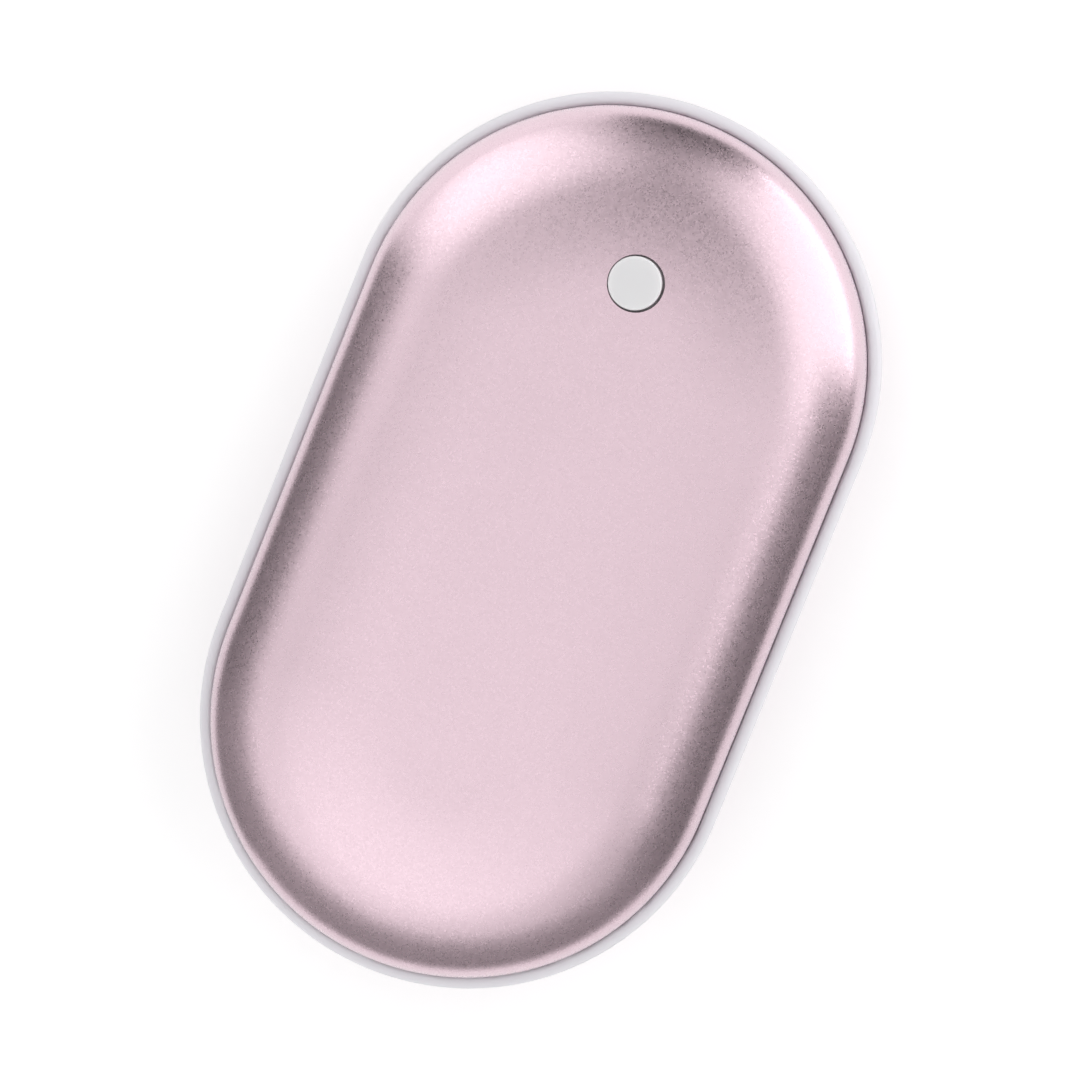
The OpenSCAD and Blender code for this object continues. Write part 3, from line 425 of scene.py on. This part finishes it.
def foil_finish(name):
    """Wound copper and aluminium foils, seen as rings round each cell's axis."""
    made = Finish(name, (0.45, 0.3, 0.2), 0.5, 0.6)
    tree = made.tree
    low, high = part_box("cell_roll_right")
    axis = (low + high) / 2
    flat = node(tree, "ShaderNodeSeparateXYZ", {0: made.place}).outputs
    across = maths(tree, "SUBTRACT", maths(tree, "ABSOLUTE", flat["X"]), axis.x)
    up = maths(tree, "SUBTRACT", flat["Z"], axis.z)
    squares = [maths(tree, "POWER", side, 2.0) for side in (across, up)]
    radius = maths(tree, "SQRT", maths(tree, "ADD", *squares))
    fac = between(tree, maths(tree, "PINGPONG", radius, FOIL_PAIR), 0.0, FOIL_PAIR)
    made.set("Base Color", blend_colours(tree, fac, (0.42, 0.26, 0.17), (0.08, 0.08, 0.09)))
    made.bump(fac, 0.03 * MM)
    return made.material


def cable_finish(name):
    """Flat cable with its conductors showing through."""
    made = Finish(name, (0.72, 0.67, 0.54), 0.4)
    made.drift(5 * MM, (0.62, 0.56, 0.42), 0.6)
    tracks(made, 0.5 * MM, 0.28 * MM, (0.5, 0.32, 0.14))
    made.set("Coat Weight", 0.5)
    return made.material


def foam_finish(name):
    """Black foam with open pores; the pores' middles are painted darker, painted shade in the hollows
    that the bump sinks.
    """
    made = Finish(name, (0.09, 0.09, 0.095), 0.9)
    tree = made.tree
    cells = node(tree, "ShaderNodeTexVoronoi", {"Vector": made.place, "Scale": FOAM_PORES})
    # Painted shade: the pores' middles, which the bump sinks, get a darker colour than the foam around
    # them
    pore_depth_and_shade = between(tree, cells.outputs["Distance"], 0.1, 0.6)
    made.set("Base Color", blend_colours(tree, pore_depth_and_shade, (0.03, 0.03, 0.032), (0.14, 0.14, 0.15)))
    made.bump(pore_depth_and_shade, 0.12 * MM)
    return made.material


def paper_finish(name):
    """Insulating paper."""
    made = Finish(name, (0.82, 0.8, 0.74), 0.85)
    made.drift(1.2 * MM, (0.7, 0.67, 0.58), 0.8)
    made.grain(0.12 * MM, 0.02 * MM)
    return made.material


def insulation(name, colour):
    """Coloured insulation of the leads."""
    made = Finish(name, colour, 0.42)
    made.drift(3 * MM, [c * 0.8 for c in colour], 0.6)
    made.grain(0.1 * MM, 0.006 * MM)
    return made.material


def moulded(name, colour, roughness=0.5, grain=0.12 * MM, depth=0.008 * MM):
    """Moulded plastic or ceramic with a fine grain."""
    made = Finish(name, colour, roughness)
    made.drift(5 * MM, [c * 0.9 for c in colour], 0.6)
    made.grain(grain, depth)
    return made.material


def bare_metal(name, colour, roughness, lines=0.06 * MM):
    """Metal with fine scratches along X."""
    made = Finish(name, colour, roughness, 1.0)
    made.drift(3 * MM, [c * 0.85 for c in colour], 0.7)
    made.grain(lines, 0.002 * MM, 0.08, BRUSHED_LINES)
    return made.material


def resin_finish(name):
    """Cast resin of the status lights."""
    made = Finish(name, (0.85, 0.83, 0.72), 0.2)
    made.drift(0.6 * MM, (0.75, 0.7, 0.5), 0.7)
    made.grain(0.05 * MM, 0.002 * MM)
    made.set("Subsurface Weight", 0.3)
    made.set("Subsurface Scale", 0.3 * MM)
    made.set("Coat Weight", 0.6)
    return made.material


# Material slot: the function that makes its finish, and what that is given after the name
FINISHERS = {
    "rose_gold_aluminium": (shell_finish,),
    "rim_plastic": (milky_finish, "rim", 0.14 * MM, 0.38),
    "button_plastic": (milky_finish, "button", 0.1 * MM, 0.42),
    "liner_plastic": (moulded, (0.7, 0.7, 0.68)),
    "well_plastic": (moulded, (0.88, 0.88, 0.87), 0.45),
    "port_steel": (bare_metal, (0.66, 0.66, 0.68), 0.26),
    "screw_steel": (bare_metal, (0.5, 0.51, 0.53), 0.34, 0.04 * MM),
    "can_steel": (bare_metal, (0.58, 0.58, 0.6), 0.3),
    "nickel_strip": (bare_metal, (0.62, 0.59, 0.53), 0.32, 0.05 * MM),
    "wound_foils": (foil_finish,),
    "gold_contact": (bare_metal, (0.86, 0.62, 0.26), 0.22, 0.03 * MM),
    "black_moulding": (moulded, (0.022, 0.022, 0.026), 0.55),
    "port_white": (moulded, (0.82, 0.82, 0.8), 0.4),
    "circuit_board": (board_finish,),
    "cell_wrap": (moulded, (0.18, 0.39, 0.57), 0.3, 0.6 * MM, 0.02 * MM),
    "cell_paper": (paper_finish,),
    "cell_gasket": (moulded, (0.72, 0.72, 0.69), 0.4),
    "heater_film": (heater_finish,),
    "foam_pad": (foam_finish,),
    "red_insulation": (insulation, (0.5, 0.03, 0.03)),
    "black_insulation": (insulation, (0.03, 0.03, 0.035)),
    "white_insulation": (insulation, (0.76, 0.74, 0.69)),
    "flat_cable": (cable_finish,),
    "sensor_resin": (moulded, (0.62, 0.22, 0.03), 0.3),
    "sensor_legs": (bare_metal, (0.7, 0.7, 0.7), 0.3, 0.03 * MM),
    "ceramic_white": (moulded, (0.78, 0.77, 0.74), 0.5),
    "ceramic_tan": (moulded, (0.5, 0.38, 0.25), 0.45),
    "ferrite": (moulded, (0.07, 0.07, 0.075), 0.6, 0.09 * MM, 0.01 * MM),
    "led_resin": (resin_finish,),
}


def material(slot):
    """The finish of a slot, made once; the frame's plain material of that name makes room."""
    made = bpy.data.materials.get(slot)
    if made and made.get("warmer"):
        return made
    if made:
        made.name = slot + "_plain"
    finisher, *given = FINISHERS[slot]
    made = finisher(slot, *given)
    made["warmer"] = True
    return made


# Meshes

# Edges over these angles, in degrees, stay sharp
SHELL_SHARP = 28
RIM_SHARP = 32
CAP_SHARP = 40
# Points nearer than this are one point, and pieces of mesh under the second length are dropped
JOIN_CAD = 0.0005 * MM
DROP_CAD = 0.0001 * MM
JOIN_DOME = 0.001 * MM
# Steps along the crown, shoulder and edge arcs of a dome's section
CROWN_STEPS = 10
SHOULDER_STEPS = 14
EDGE_STEPS = 20
# The tool that cuts the button's hole
BORE_SIDES = 128
BORE_DEPTH = 10 * MM


def dress(piece, slot):
    """Gives a piece the finish of one slot."""
    piece.data.materials.clear()
    piece.data.materials.append(material(slot))


def add_piece(name, mesh, slot, body, *replaced):
    """Puts a finished mesh in the scene as a piece that stands for CAD nodes."""
    piece = bpy.data.objects.new(name, mesh)
    bpy.context.scene.collection.objects.link(piece)
    dress(piece, slot)
    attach(piece, body)
    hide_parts(*replaced)
    return piece


def sharpen(mesh, degrees):
    """Smooth shading, with edges over an angle left sharp."""
    mesh.shade_smooth()
    mesh.set_sharp_from_angle(angle=math.radians(degrees))


def merged_copy(source, name, degrees):
    """Copy of a CAD node's mesh with its triangles joined and smooth shading."""
    mesh = NODES[source].data.copy()
    mesh.name = name
    work = bmesh.new()
    work.from_mesh(mesh)
    bmesh.ops.remove_doubles(work, verts=work.verts, dist=JOIN_CAD)
    bmesh.ops.dissolve_degenerate(work, edges=work.edges, dist=DROP_CAD)
    work.to_mesh(mesh)
    work.free()
    sharpen(mesh, degrees)
    return mesh


def weighted(mesh, name):
    """The same mesh with its normals weighted by face area, which keeps its flats flat."""
    holder = bpy.data.objects.new(name + "_holder", mesh)
    bpy.context.scene.collection.objects.link(holder)
    step = holder.modifiers.new("Weighted", "WEIGHTED_NORMAL")
    step.keep_sharp = True
    result = evaluated(holder, name)
    bpy.data.objects.remove(holder)
    return result


def evaluated(holder, name):
    """The mesh that an object's modifiers make."""
    graph = bpy.context.evaluated_depsgraph_get()
    graph.update()
    mesh = bpy.data.meshes.new_from_object(holder.evaluated_get(graph), depsgraph=graph)
    mesh.name = name
    return mesh


def arc_points(centre, radius, start, end, steps):
    """Points of an arc between two angles in degrees, both ends included."""
    turns = [math.radians(start + (end - start) * k / steps) for k in range(steps + 1)]
    return [(centre[0] + radius * math.cos(t), centre[1] + radius * math.sin(t)) for t in turns]


def dome_arcs():
    """Centres and radii of the edge, shoulder and crown arcs, over the rim's edge."""
    s = sizes()
    rise = s.top_z - s.foot_z - s.rebate
    edge_r = (
        rise - s.skirt
        - s.shoulder_r * (math.sin(s.crown_angle) - math.sin(s.edge_angle))
        - s.crown_r * (1 - math.sin(s.crown_angle))
    ) / math.sin(s.edge_angle)
    edge = (s.side_r - edge_r, s.skirt)
    step = s.shoulder_r - edge_r
    shoulder = (edge[0] - step * math.cos(s.edge_angle), edge[1] - step * math.sin(s.edge_angle))
    step = s.crown_r - s.shoulder_r
    crown = (shoulder[0] - step * math.cos(s.crown_angle), shoulder[1] - step * math.sin(s.crown_angle))
    return rise, (edge, edge_r), (shoulder, s.shoulder_r), (crown, s.crown_r)


def dome_section(inset):
    """Dome's section from the centre line out and down to the foot, under its surface by an inset."""
    s = sizes()
    rise, edge, shoulder, crown = dome_arcs()
    edge_end, crown_end = math.degrees(s.edge_angle), math.degrees(s.crown_angle)
    points = [(0.0, rise - inset), (crown[0][0] / 2, rise - inset)]
    points += arc_points(crown[0], crown[1] - inset, 90, crown_end, CROWN_STEPS)
    points += arc_points(shoulder[0], shoulder[1] - inset, crown_end, edge_end, SHOULDER_STEPS)[1:]
    points += arc_points(edge[0], edge[1] - inset, edge_end, 0, EDGE_STEPS)[1:]
    points.append((s.side_r - inset, -s.rebate))
    return points


def section_object(points):
    """Row of vertices that holds a section: distance from the centre line, and height."""
    mesh = bpy.data.meshes.new("section")
    lines = [(k, k + 1) for k in range(len(points) - 1)]
    mesh.from_pydata([(r, z, 0.0) for r, z in points], lines, [])
    made = bpy.data.objects.new("section", mesh)
    bpy.context.scene.collection.objects.link(made)
    return made


def dome_tree():
    """Geometry nodes: carries a section round an oval, and drills a hole where one is asked for."""
    name = "Oval dome"
    if name in bpy.data.node_groups:
        return bpy.data.node_groups[name]
    tree, given, result = new_group(
        name,
        [
            ("Geometry", "NodeSocketGeometry", None),
            ("Section", "NodeSocketObject", None),
            ("Section points", "NodeSocketInt", 96),
            ("Straight half", "NodeSocketFloat", 0.02),
            ("Half turn steps", "NodeSocketInt", 88),
            ("Rim edge height", "NodeSocketFloat", 0.017),
            ("Hole radius", "NodeSocketFloat", 0.003),
            ("Hole place", "NodeSocketVector", None),
            ("With hole", "NodeSocketBool", False),
            ("Material", "NodeSocketMaterial", None),
        ],
        [("Geometry", "NodeSocketGeometry")],
        "GeometryNodeTree",
    )
    points, steps = given["Section points"], given["Half turn steps"]
    columns = maths(tree, "ADD", maths(tree, "MULTIPLY", steps, 2.0), 3.0)
    grid = node(tree, "GeometryNodeMeshGrid", {"Vertices X": columns, "Vertices Y": points})
    index = tree.nodes.new("GeometryNodeInputIndex").outputs[0]
    row = maths(tree, "FLOORED_MODULO", index, points)
    column = maths(tree, "FLOOR", maths(tree, "DIVIDE", maths(tree, "ADD", index, 0.5), points))
    # Past the first half turn, the centre moves to the other end and the turn waits for one column
    second = maths(tree, "GREATER_THAN", column, maths(tree, "ADD", steps, 0.5))
    closing = maths(tree, "GREATER_THAN", column, maths(tree, "SUBTRACT", columns, 1.5))
    waited = maths(tree, "SUBTRACT", maths(tree, "SUBTRACT", column, second), closing)
    turn = maths(tree, "MULTIPLY", maths(tree, "DIVIDE", waited, steps), math.pi)
    at_low_end = maths(tree, "SUBTRACT", second, closing)
    end = between(tree, at_low_end, 0.0, 1.0, 1.0, -1.0)
    middle_y = maths(tree, "MULTIPLY", given["Straight half"], end)
    section = node(tree, "GeometryNodeObjectInfo", {"Object": given["Section"]}).outputs["Geometry"]
    place = tree.nodes.new("GeometryNodeInputPosition").outputs[0]
    sample = node(tree, "GeometryNodeSampleIndex", data_type="FLOAT_VECTOR", domain="POINT")
    join(tree, sample.inputs["Geometry"], section)
    join(tree, sample.inputs["Value"], place)
    join(tree, sample.inputs["Index"], row)
    drawn = node(tree, "ShaderNodeSeparateXYZ", {0: sample.outputs[0]}).outputs
    x = maths(tree, "MULTIPLY", drawn["X"], maths(tree, "COSINE", turn))
    y = maths(tree, "ADD", maths(tree, "MULTIPLY", drawn["X"], maths(tree, "SINE", turn)), middle_y)
    z = maths(tree, "ADD", drawn["Y"], given["Rim edge height"])
    there = node(tree, "ShaderNodeCombineXYZ", {"X": x, "Y": y, "Z": z}).outputs[0]
    swept = node(tree, "GeometryNodeSetPosition", {"Geometry": grid.outputs["Mesh"], "Position": there})
    closed = node(
        tree, "GeometryNodeMergeByDistance", {"Geometry": swept.outputs[0], "Distance": JOIN_DOME}
    ).outputs[0]
    bore = node(
        tree, "GeometryNodeMeshCylinder",
        {"Vertices": BORE_SIDES, "Radius": given["Hole radius"], "Depth": BORE_DEPTH},
    ).outputs["Mesh"]
    cutter = node(tree, "GeometryNodeTransform", {"Geometry": bore, "Translation": given["Hole place"]})
    cut = node(tree, "GeometryNodeMeshBoolean", operation="DIFFERENCE", solver="EXACT")
    join(tree, cut.inputs["Mesh 1"], closed)
    join(tree, cut.inputs["Mesh 2"], cutter.outputs[0])
    chosen = node(tree, "GeometryNodeSwitch", input_type="GEOMETRY")
    join(tree, chosen.inputs["Switch"], given["With hole"])
    join(tree, chosen.inputs["False"], closed)
    join(tree, chosen.inputs["True"], cut.outputs["Mesh"])
    real = node(tree, "GeometryNodeRealizeInstances", {"Geometry": chosen.outputs[0]}).outputs[0]
    dressed = node(tree, "GeometryNodeSetMaterial", {"Geometry": real, "Material": given["Material"]})
    join(tree, result["Geometry"], dressed.outputs[0])
    return tree


def run_tree(name, tree, values):
    """Runs a geometry tree on an empty mesh and returns the mesh that it makes."""
    holder = bpy.data.objects.new(name + "_holder", bpy.data.meshes.new(name + "_holder"))
    bpy.context.scene.collection.objects.link(holder)
    step = holder.modifiers.new("Tree", "NODES")
    step.node_group = tree
    sockets = {s.name: s.identifier for s in tree.interface.items_tree if s.in_out == "INPUT"}
    for label, value in values.items():
        step[sockets[label]] = value
    mesh = evaluated(holder, name)
    bpy.data.objects.remove(holder)
    return mesh


def dome_mesh(name, with_hole):
    """Mesh of the front shell, or of the same shell without the button's hole."""
    s = sizes()
    points = dome_section(0.0) + dome_section(s.wall)[::-1]
    section = section_object(points)
    mesh = run_tree(
        name, dome_tree(),
        {
            "Section": section,
            "Section points": len(points),
            "Straight half": s.end_y,
            "Half turn steps": s.turn_steps,
            "Rim edge height": s.foot_z + s.rebate,
            "Hole radius": s.hole_d / 2,
            "Hole place": (0.0, (CAP_LOW.y + CAP_HIGH.y) / 2, s.top_z),
            "With hole": with_hole,
            "Material": material("rose_gold_aluminium"),
        },
    )
    bpy.data.objects.remove(section)
    return outward(mesh)


def outward(mesh):
    """Joins doubles and turns all faces outwards."""
    work = bmesh.new()
    work.from_mesh(mesh)
    bmesh.ops.remove_doubles(work, verts=work.verts, dist=JOIN_DOME)
    bmesh.ops.recalc_face_normals(work, faces=work.faces)
    if work.calc_volume(signed=True) < 0:
        bmesh.ops.reverse_faces(work, faces=work.faces)
    work.to_mesh(mesh)
    work.free()
    return mesh


class WARMER_OT_shells(bpy.types.Operator):
    """Draws the front shell with its button hole, and the back shell"""

    bl_idname = "warmer.shells"
    bl_label = "Shells"

    def execute(self, context):
        front = dome_mesh("front_shell_skin", True)
        back = dome_mesh("back_shell_skin", False)
        over = Matrix.Rotation(math.pi, 4, "Y")
        back.transform(Matrix.Translation((0, 0, SHELL_HIGH.z + BACK_LOW.z)) @ over)
        for mesh, source in ((front, "front_shell"), (back, "back_shell")):
            sharpen(mesh, SHELL_SHARP)
            add_piece(mesh.name, mesh, "rose_gold_aluminium", "case", source)
        return {"FINISHED"}


class WARMER_OT_rim(bpy.types.Operator):
    """Smooths the plastic rim frame between the shells"""

    bl_idname = "warmer.rim"
    bl_label = "Rim frame"

    def execute(self, context):
        mesh = weighted(merged_copy("mid_frame", "rim_frame_part", RIM_SHARP), "rim_frame")
        add_piece("rim_frame", mesh, "rim_plastic", "case", "mid_frame")
        return {"FINISHED"}


class WARMER_OT_button(bpy.types.Operator):
    """Smooths the button cap with its rounded edge, flange and nib"""

    bl_idname = "warmer.button"
    bl_label = "Button cap"

    def execute(self, context):
        mesh = weighted(merged_copy("button_cap", "cap_part", CAP_SHARP), "cap")
        add_piece("cap", mesh, "button_plastic", "button", "button_cap")
        return {"FINISHED"}


def dress_nodes(*names):
    """Gives CAD nodes the finishes of the slots that the record names for them."""
    slots = {part["node"]: part["material_slot"] for part in frame["record"]["subparts"]}
    for name in names:
        dress(NODES[name], slots[name])


class WARMER_OT_housing(bpy.types.Operator):
    """Dresses the liners, their screws and the light well"""

    bl_idname = "warmer.housing"
    bl_label = "Liners and screws"

    def execute(self, context):
        dress_nodes("front_liner", "back_liner", "liner_screws", "light_well")
        return {"FINISHED"}


class WARMER_OT_switch(bpy.types.Operator):
    """Dresses the small board under the button, its switch, lights and flat cable"""

    bl_idname = "warmer.switch"
    bl_label = "Switch and lights"

    def execute(self, context):
        dress_nodes(
            "button_board", "switch_base", "switch_cover", "switch_plunger", "switch_dome",
            "status_leds", "button_ribbon",
        )
        return {"FINISHED"}


class WARMER_OT_cells(bpy.types.Operator):
    """Dresses the two cells and their nickel strips"""

    bl_idname = "warmer.cells"
    bl_label = "Cells"

    def execute(self, context):
        dress_nodes(
            "cell_can_left", "cell_can_right", "cell_roll_left", "cell_roll_right", "cell_caps",
            "cell_gaskets", "cell_wrap_left", "cell_wrap_right", "cell_insulators", "nickel_strip_plus",
            "nickel_strip_minus",
        )
        return {"FINISHED"}


class WARMER_OT_heaters(bpy.types.Operator):
    """Dresses the heaters, their foam pads and the parts that sense the heat"""

    bl_idname = "warmer.heaters"
    bl_label = "Heaters and pads"

    def execute(self, context):
        dress_nodes(
            "front_heater", "back_heater", "front_pad", "back_pad", "thermistor",
            "thermistor_leads", "thermal_cutoff",
        )
        return {"FINISHED"}


class WARMER_OT_board(bpy.types.Operator):
    """Dresses the main board, its screws and its parts"""

    bl_idname = "warmer.board"
    bl_label = "Main board"

    def execute(self, context):
        dress_nodes(
            "main_board", "board_screws", "charge_chip", "heater_transistors", "power_inductor",
            "board_capacitors",
        )
        return {"FINISHED"}


class WARMER_OT_ports(bpy.types.Operator):
    """Dresses the two ports"""

    bl_idname = "warmer.ports"
    bl_label = "Ports"

    def execute(self, context):
        dress_nodes(
            "usb_a_shell", "usb_a_insulator", "usb_a_contacts",
            "micro_usb_shell", "micro_usb_insulator", "micro_usb_contacts",
        )
        return {"FINISHED"}


class WARMER_OT_leads(bpy.types.Operator):
    """Dresses the leads of the cells and of the heaters"""

    bl_idname = "warmer.leads"
    bl_label = "Leads"

    def execute(self, context):
        dress_nodes(
            "battery_lead_plus", "battery_lead_minus", "front_heater_leads", "back_heater_leads"
        )
        return {"FINISHED"}


class WARMER_OT_studio(bpy.types.Operator):
    """Sets the floor, the cards, the light and the camera"""

    bl_idname = "warmer.studio"
    bl_label = "Studio"

    def execute(self, context):
        make_floor()
        make_cards()
        make_world()
        make_camera()
        context.scene.view_settings.view_transform = "Standard"
        return {"FINISHED"}


# Half of the side of the floor, in metres
FLOOR_REACH = 4.0
CARDS = [
    # name, from and to in degrees from +X, foot, top and distance in metres, and
    # the grey at the foot and above it
    ("left", 165, 207, 0.0, 0.066, 0.091, 0.20, 0.16),
    ("lower_left", 207, 238, 0.002, 0.052, 0.075, 0.34, 0.25),
    ("lower", 238, 330, 0.010, 0.053, 0.075, 0.66, 0.27),
    ("right", 330, 383, 0.0, 0.098, 0.109, 0.20, 0.185),
    ("upper", 76, 112, 0.0, 0.071, 0.109, 0.08, 0.08),
]
# Height in metres over which the grey at a card's foot goes over into the other one
CARD_FADE = 0.016
# Steps along a card, and how much further the cards stand at the object's ends than at its sides
CARD_STEPS = 24
CARD_STRETCH = 1.2


def stage_object(name, work, paint):
    """Puts a finished bmesh in the scene as a part of the stage."""
    mesh = bpy.data.meshes.new(name)
    work.to_mesh(mesh)
    work.free()
    mesh.materials.append(paint)
    made = bpy.data.objects.new(name, mesh)
    bpy.context.scene.collection.objects.link(made)
    return made


def matt_paint(name):
    """A material of the stage, its tree and its shader's inputs, without any gloss."""
    paint = bpy.data.materials.new(name)
    paint.use_nodes = True
    given = paint.node_tree.nodes["Principled BSDF"].inputs
    given["Roughness"].default_value = 1.0
    given["Specular IOR Level"].default_value = 0.0
    return paint, paint.node_tree, given


def make_floor():
    """A plain pale floor that the camera sees as white, with the object's shadow."""
    look = studio()
    work = bmesh.new()
    bmesh.ops.create_grid(work, x_segments=1, y_segments=1, size=FLOOR_REACH)
    paint, tree, given = matt_paint("studio_floor")
    given["Base Color"].default_value = rgba(look.floor_colour)
    path = node(tree, "ShaderNodeLightPath").outputs
    seen = maths(tree, "MAXIMUM", path["Is Camera Ray"], path["Is Transmission Ray"])
    reflected = maths(tree, "MULTIPLY", path["Is Glossy Ray"], look.floor_reflected)
    glow = maths(tree, "MULTIPLY", maths(tree, "MAXIMUM", seen, reflected), look.floor_glow)
    given["Emission Color"].default_value = rgba(look.floor_colour)
    join(tree, given["Emission Strength"], glow)
    stage_object("floor", work, paint)


def make_cards():
    """Dark cards that stand round the object; neither the camera nor soft light sees them."""
    for name, start, end, foot, top, distance, foot_grey, grey in CARDS:
        work = bmesh.new()
        rows = []
        for z in (foot, top):
            row = []
            for k in range(CARD_STEPS + 1):
                turn = math.radians(start + (end - start) * k / CARD_STEPS)
                x, y = distance * math.cos(turn), distance * CARD_STRETCH * math.sin(turn)
                row.append(work.verts.new((x, y, z)))
            rows.append(row)
        for k in range(CARD_STEPS):
            work.faces.new((rows[0][k], rows[0][k + 1], rows[1][k + 1], rows[1][k]))
        paint, tree, given = matt_paint("card_" + name)
        place = node(tree, "ShaderNodeTexCoord").outputs["Object"]
        height = node(tree, "ShaderNodeSeparateXYZ", {0: place}).outputs["Z"]
        fade = between(tree, height, foot, foot + CARD_FADE, foot_grey, grey, smooth=True)
        paler = node(tree, "ShaderNodeCombineColor", {0: fade, 1: fade, 2: fade}).outputs[0]
        join(tree, given["Base Color"], paler)
        made = stage_object("card_" + name, work, paint)
        made.visible_camera = False
        made.visible_diffuse = False


def direction(azimuth, elevation):
    """Unit vector at an azimuth from +X and an elevation, both in degrees."""
    a, e = math.radians(azimuth), math.radians(elevation)
    return (math.cos(a) * math.cos(e), math.sin(a) * math.cos(e), math.sin(e))


SOFTBOXES = [
    # azimuth, elevation, reach of the even part and width of the soft edge, all in degrees, and
    # the strength that is added
    (34, 18.3, 38.3, 18.7, 1.28),
    (143.5, 38, 18.8, 9, 0.93),
    (-85, 75, 21, 9, 0.56),
]
# Light at the horizon, and how much it grows towards the button's end
HORIZON = 0.88
HORIZON_SLOPE = 0.12
# Light overhead: its growth towards +X, +Y and +Z, its level at the middle, and its least level
OVERHEAD = (-0.306, -0.58, -0.739)
OVERHEAD_LEVEL = 1.10
OVERHEAD_LEAST = 0.05
# Degrees over which the light of the horizon goes over into the light overhead
HORIZON_BLEND = (9, 22)


def make_world():
    """Light round the horizon and overhead, and three soft boxes; the camera sees plain white."""
    world = bpy.data.worlds.new("studio")
    bpy.context.scene.world = world
    world.use_nodes = True
    tree = world.node_tree
    tree.nodes.clear()
    way = node(tree, "ShaderNodeTexCoord").outputs["Generated"]
    part = node(tree, "ShaderNodeSeparateXYZ", {0: way}).outputs
    overhead = OVERHEAD_LEVEL
    for axis, slope in zip("XYZ", OVERHEAD):
        overhead = maths(tree, "ADD", maths(tree, "MULTIPLY", part[axis], slope), overhead)
    overhead = maths(tree, "MAXIMUM", overhead, OVERHEAD_LEAST)
    low, high = (math.sin(math.radians(end)) for end in HORIZON_BLEND)
    level = between(tree, part["Z"], low, high, smooth=True)
    horizon = maths(tree, "ADD", maths(tree, "MULTIPLY", part["Y"], HORIZON_SLOPE), HORIZON)
    light = blend(tree, level, horizon, overhead)
    for azimuth, elevation, even, edge, strength in SOFTBOXES:
        axis = direction(azimuth, elevation)
        towards = node(tree, "ShaderNodeVectorMath", {0: way, 1: axis}, operation="DOT_PRODUCT")
        off = maths(tree, "ARCCOSINE", towards.outputs["Value"])
        low, high = math.radians(even), math.radians(even + edge)
        glow = between(tree, off, low, high, strength, 0.0, smooth=True)
        light = maths(tree, "ADD", light, glow)
    seen = node(tree, "ShaderNodeLightPath").outputs["Is Camera Ray"]
    light = blend(tree, seen, light, 1.0)
    back = node(tree, "ShaderNodeBackground", {"Color": (1.0, 1.0, 1.0, 1.0), "Strength": light})
    out = tree.nodes.new("ShaderNodeOutputWorld")
    tree.links.new(back.outputs[0], out.inputs["Surface"])


# Width of the sensor in millimetres, and what the camera sees, in metres from the lens
SENSOR_WIDTH = 36.0
CLIPPING = (0.01, 50.0)


def make_camera():
    """Camera over the front, leant and turned as in the photograph."""
    s = studio()
    lens = bpy.data.cameras.new("camera")
    lens.sensor_width = SENSOR_WIDTH
    lens.lens = s.focal
    lens.clip_start, lens.clip_end = CLIPPING
    lens.shift_x, lens.shift_y = s.shift_x, s.shift_y
    made = bpy.data.objects.new("camera", lens)
    bpy.context.scene.collection.objects.link(made)
    back = Vector((math.sin(s.lean_x), math.sin(s.lean_y), 0.0))
    back.z = math.sqrt(1.0 - back.length_squared)
    along = Vector((0.0, 1.0, 0.0))
    along = (along - along.dot(back) * back).normalized()
    across = along.cross(back)
    up = along * math.cos(s.turn) - across * math.sin(s.turn)
    right = along * math.sin(s.turn) + across * math.cos(s.turn)
    middle = (CAD_BOX[0] + CAD_BOX[1]) / 2
    place = Vector((0.0, 0.0, middle.z)) + back * s.distance
    turned = Matrix((right, up, back)).transposed().to_4x4()
    made.matrix_world = Matrix.Translation(place) @ turned
    bpy.context.scene.camera = made


class WARMER_PT_sidebar(bpy.types.Panel):
    """Lists the pieces, the stage and their settings"""

    bl_label = "Hand warmer"
    bl_idname = "WARMER_PT_sidebar"
    bl_space_type = "VIEW_3D"
    bl_region_type = "UI"
    bl_category = "Hand warmer"

    def draw(self, context):
        for operator in OPERATORS:
            self.layout.operator(operator.bl_idname)
        for group_name, kind in GROUPS:
            box = self.layout.box()
            for name in kind.__annotations__:
                box.prop(getattr(context.scene, group_name), name)


OPERATORS = (
    WARMER_OT_shells, WARMER_OT_rim, WARMER_OT_button, WARMER_OT_housing, WARMER_OT_switch,
    WARMER_OT_cells, WARMER_OT_heaters, WARMER_OT_board, WARMER_OT_ports, WARMER_OT_leads,
    WARMER_OT_studio,
)
GROUPS = (
    ("warmer_sizes", WarmerSizes),
    ("warmer_finishes", WarmerFinishes),
    ("warmer_studio", WarmerStudio),
)


def register():
    for name, group in GROUPS:
        bpy.utils.register_class(group)
        setattr(bpy.types.Scene, name, PointerProperty(type=group))
    for made in (*OPERATORS, WARMER_PT_sidebar):
        bpy.utils.register_class(made)


def unregister():
    for made in reversed((*OPERATORS, WARMER_PT_sidebar)):
        bpy.utils.unregister_class(made)
    for name, group in reversed(GROUPS):
        delattr(bpy.types.Scene, name)
        bpy.utils.unregister_class(group)


def main():
    register()
    bpy.ops.warmer.shells()
    bpy.ops.warmer.rim()
    bpy.ops.warmer.button()
    bpy.ops.warmer.housing()
    bpy.ops.warmer.switch()
    bpy.ops.warmer.cells()
    bpy.ops.warmer.heaters()
    bpy.ops.warmer.board()
    bpy.ops.warmer.ports()
    bpy.ops.warmer.leads()
    bpy.ops.warmer.studio()


if __name__ == "__main__":
    main()
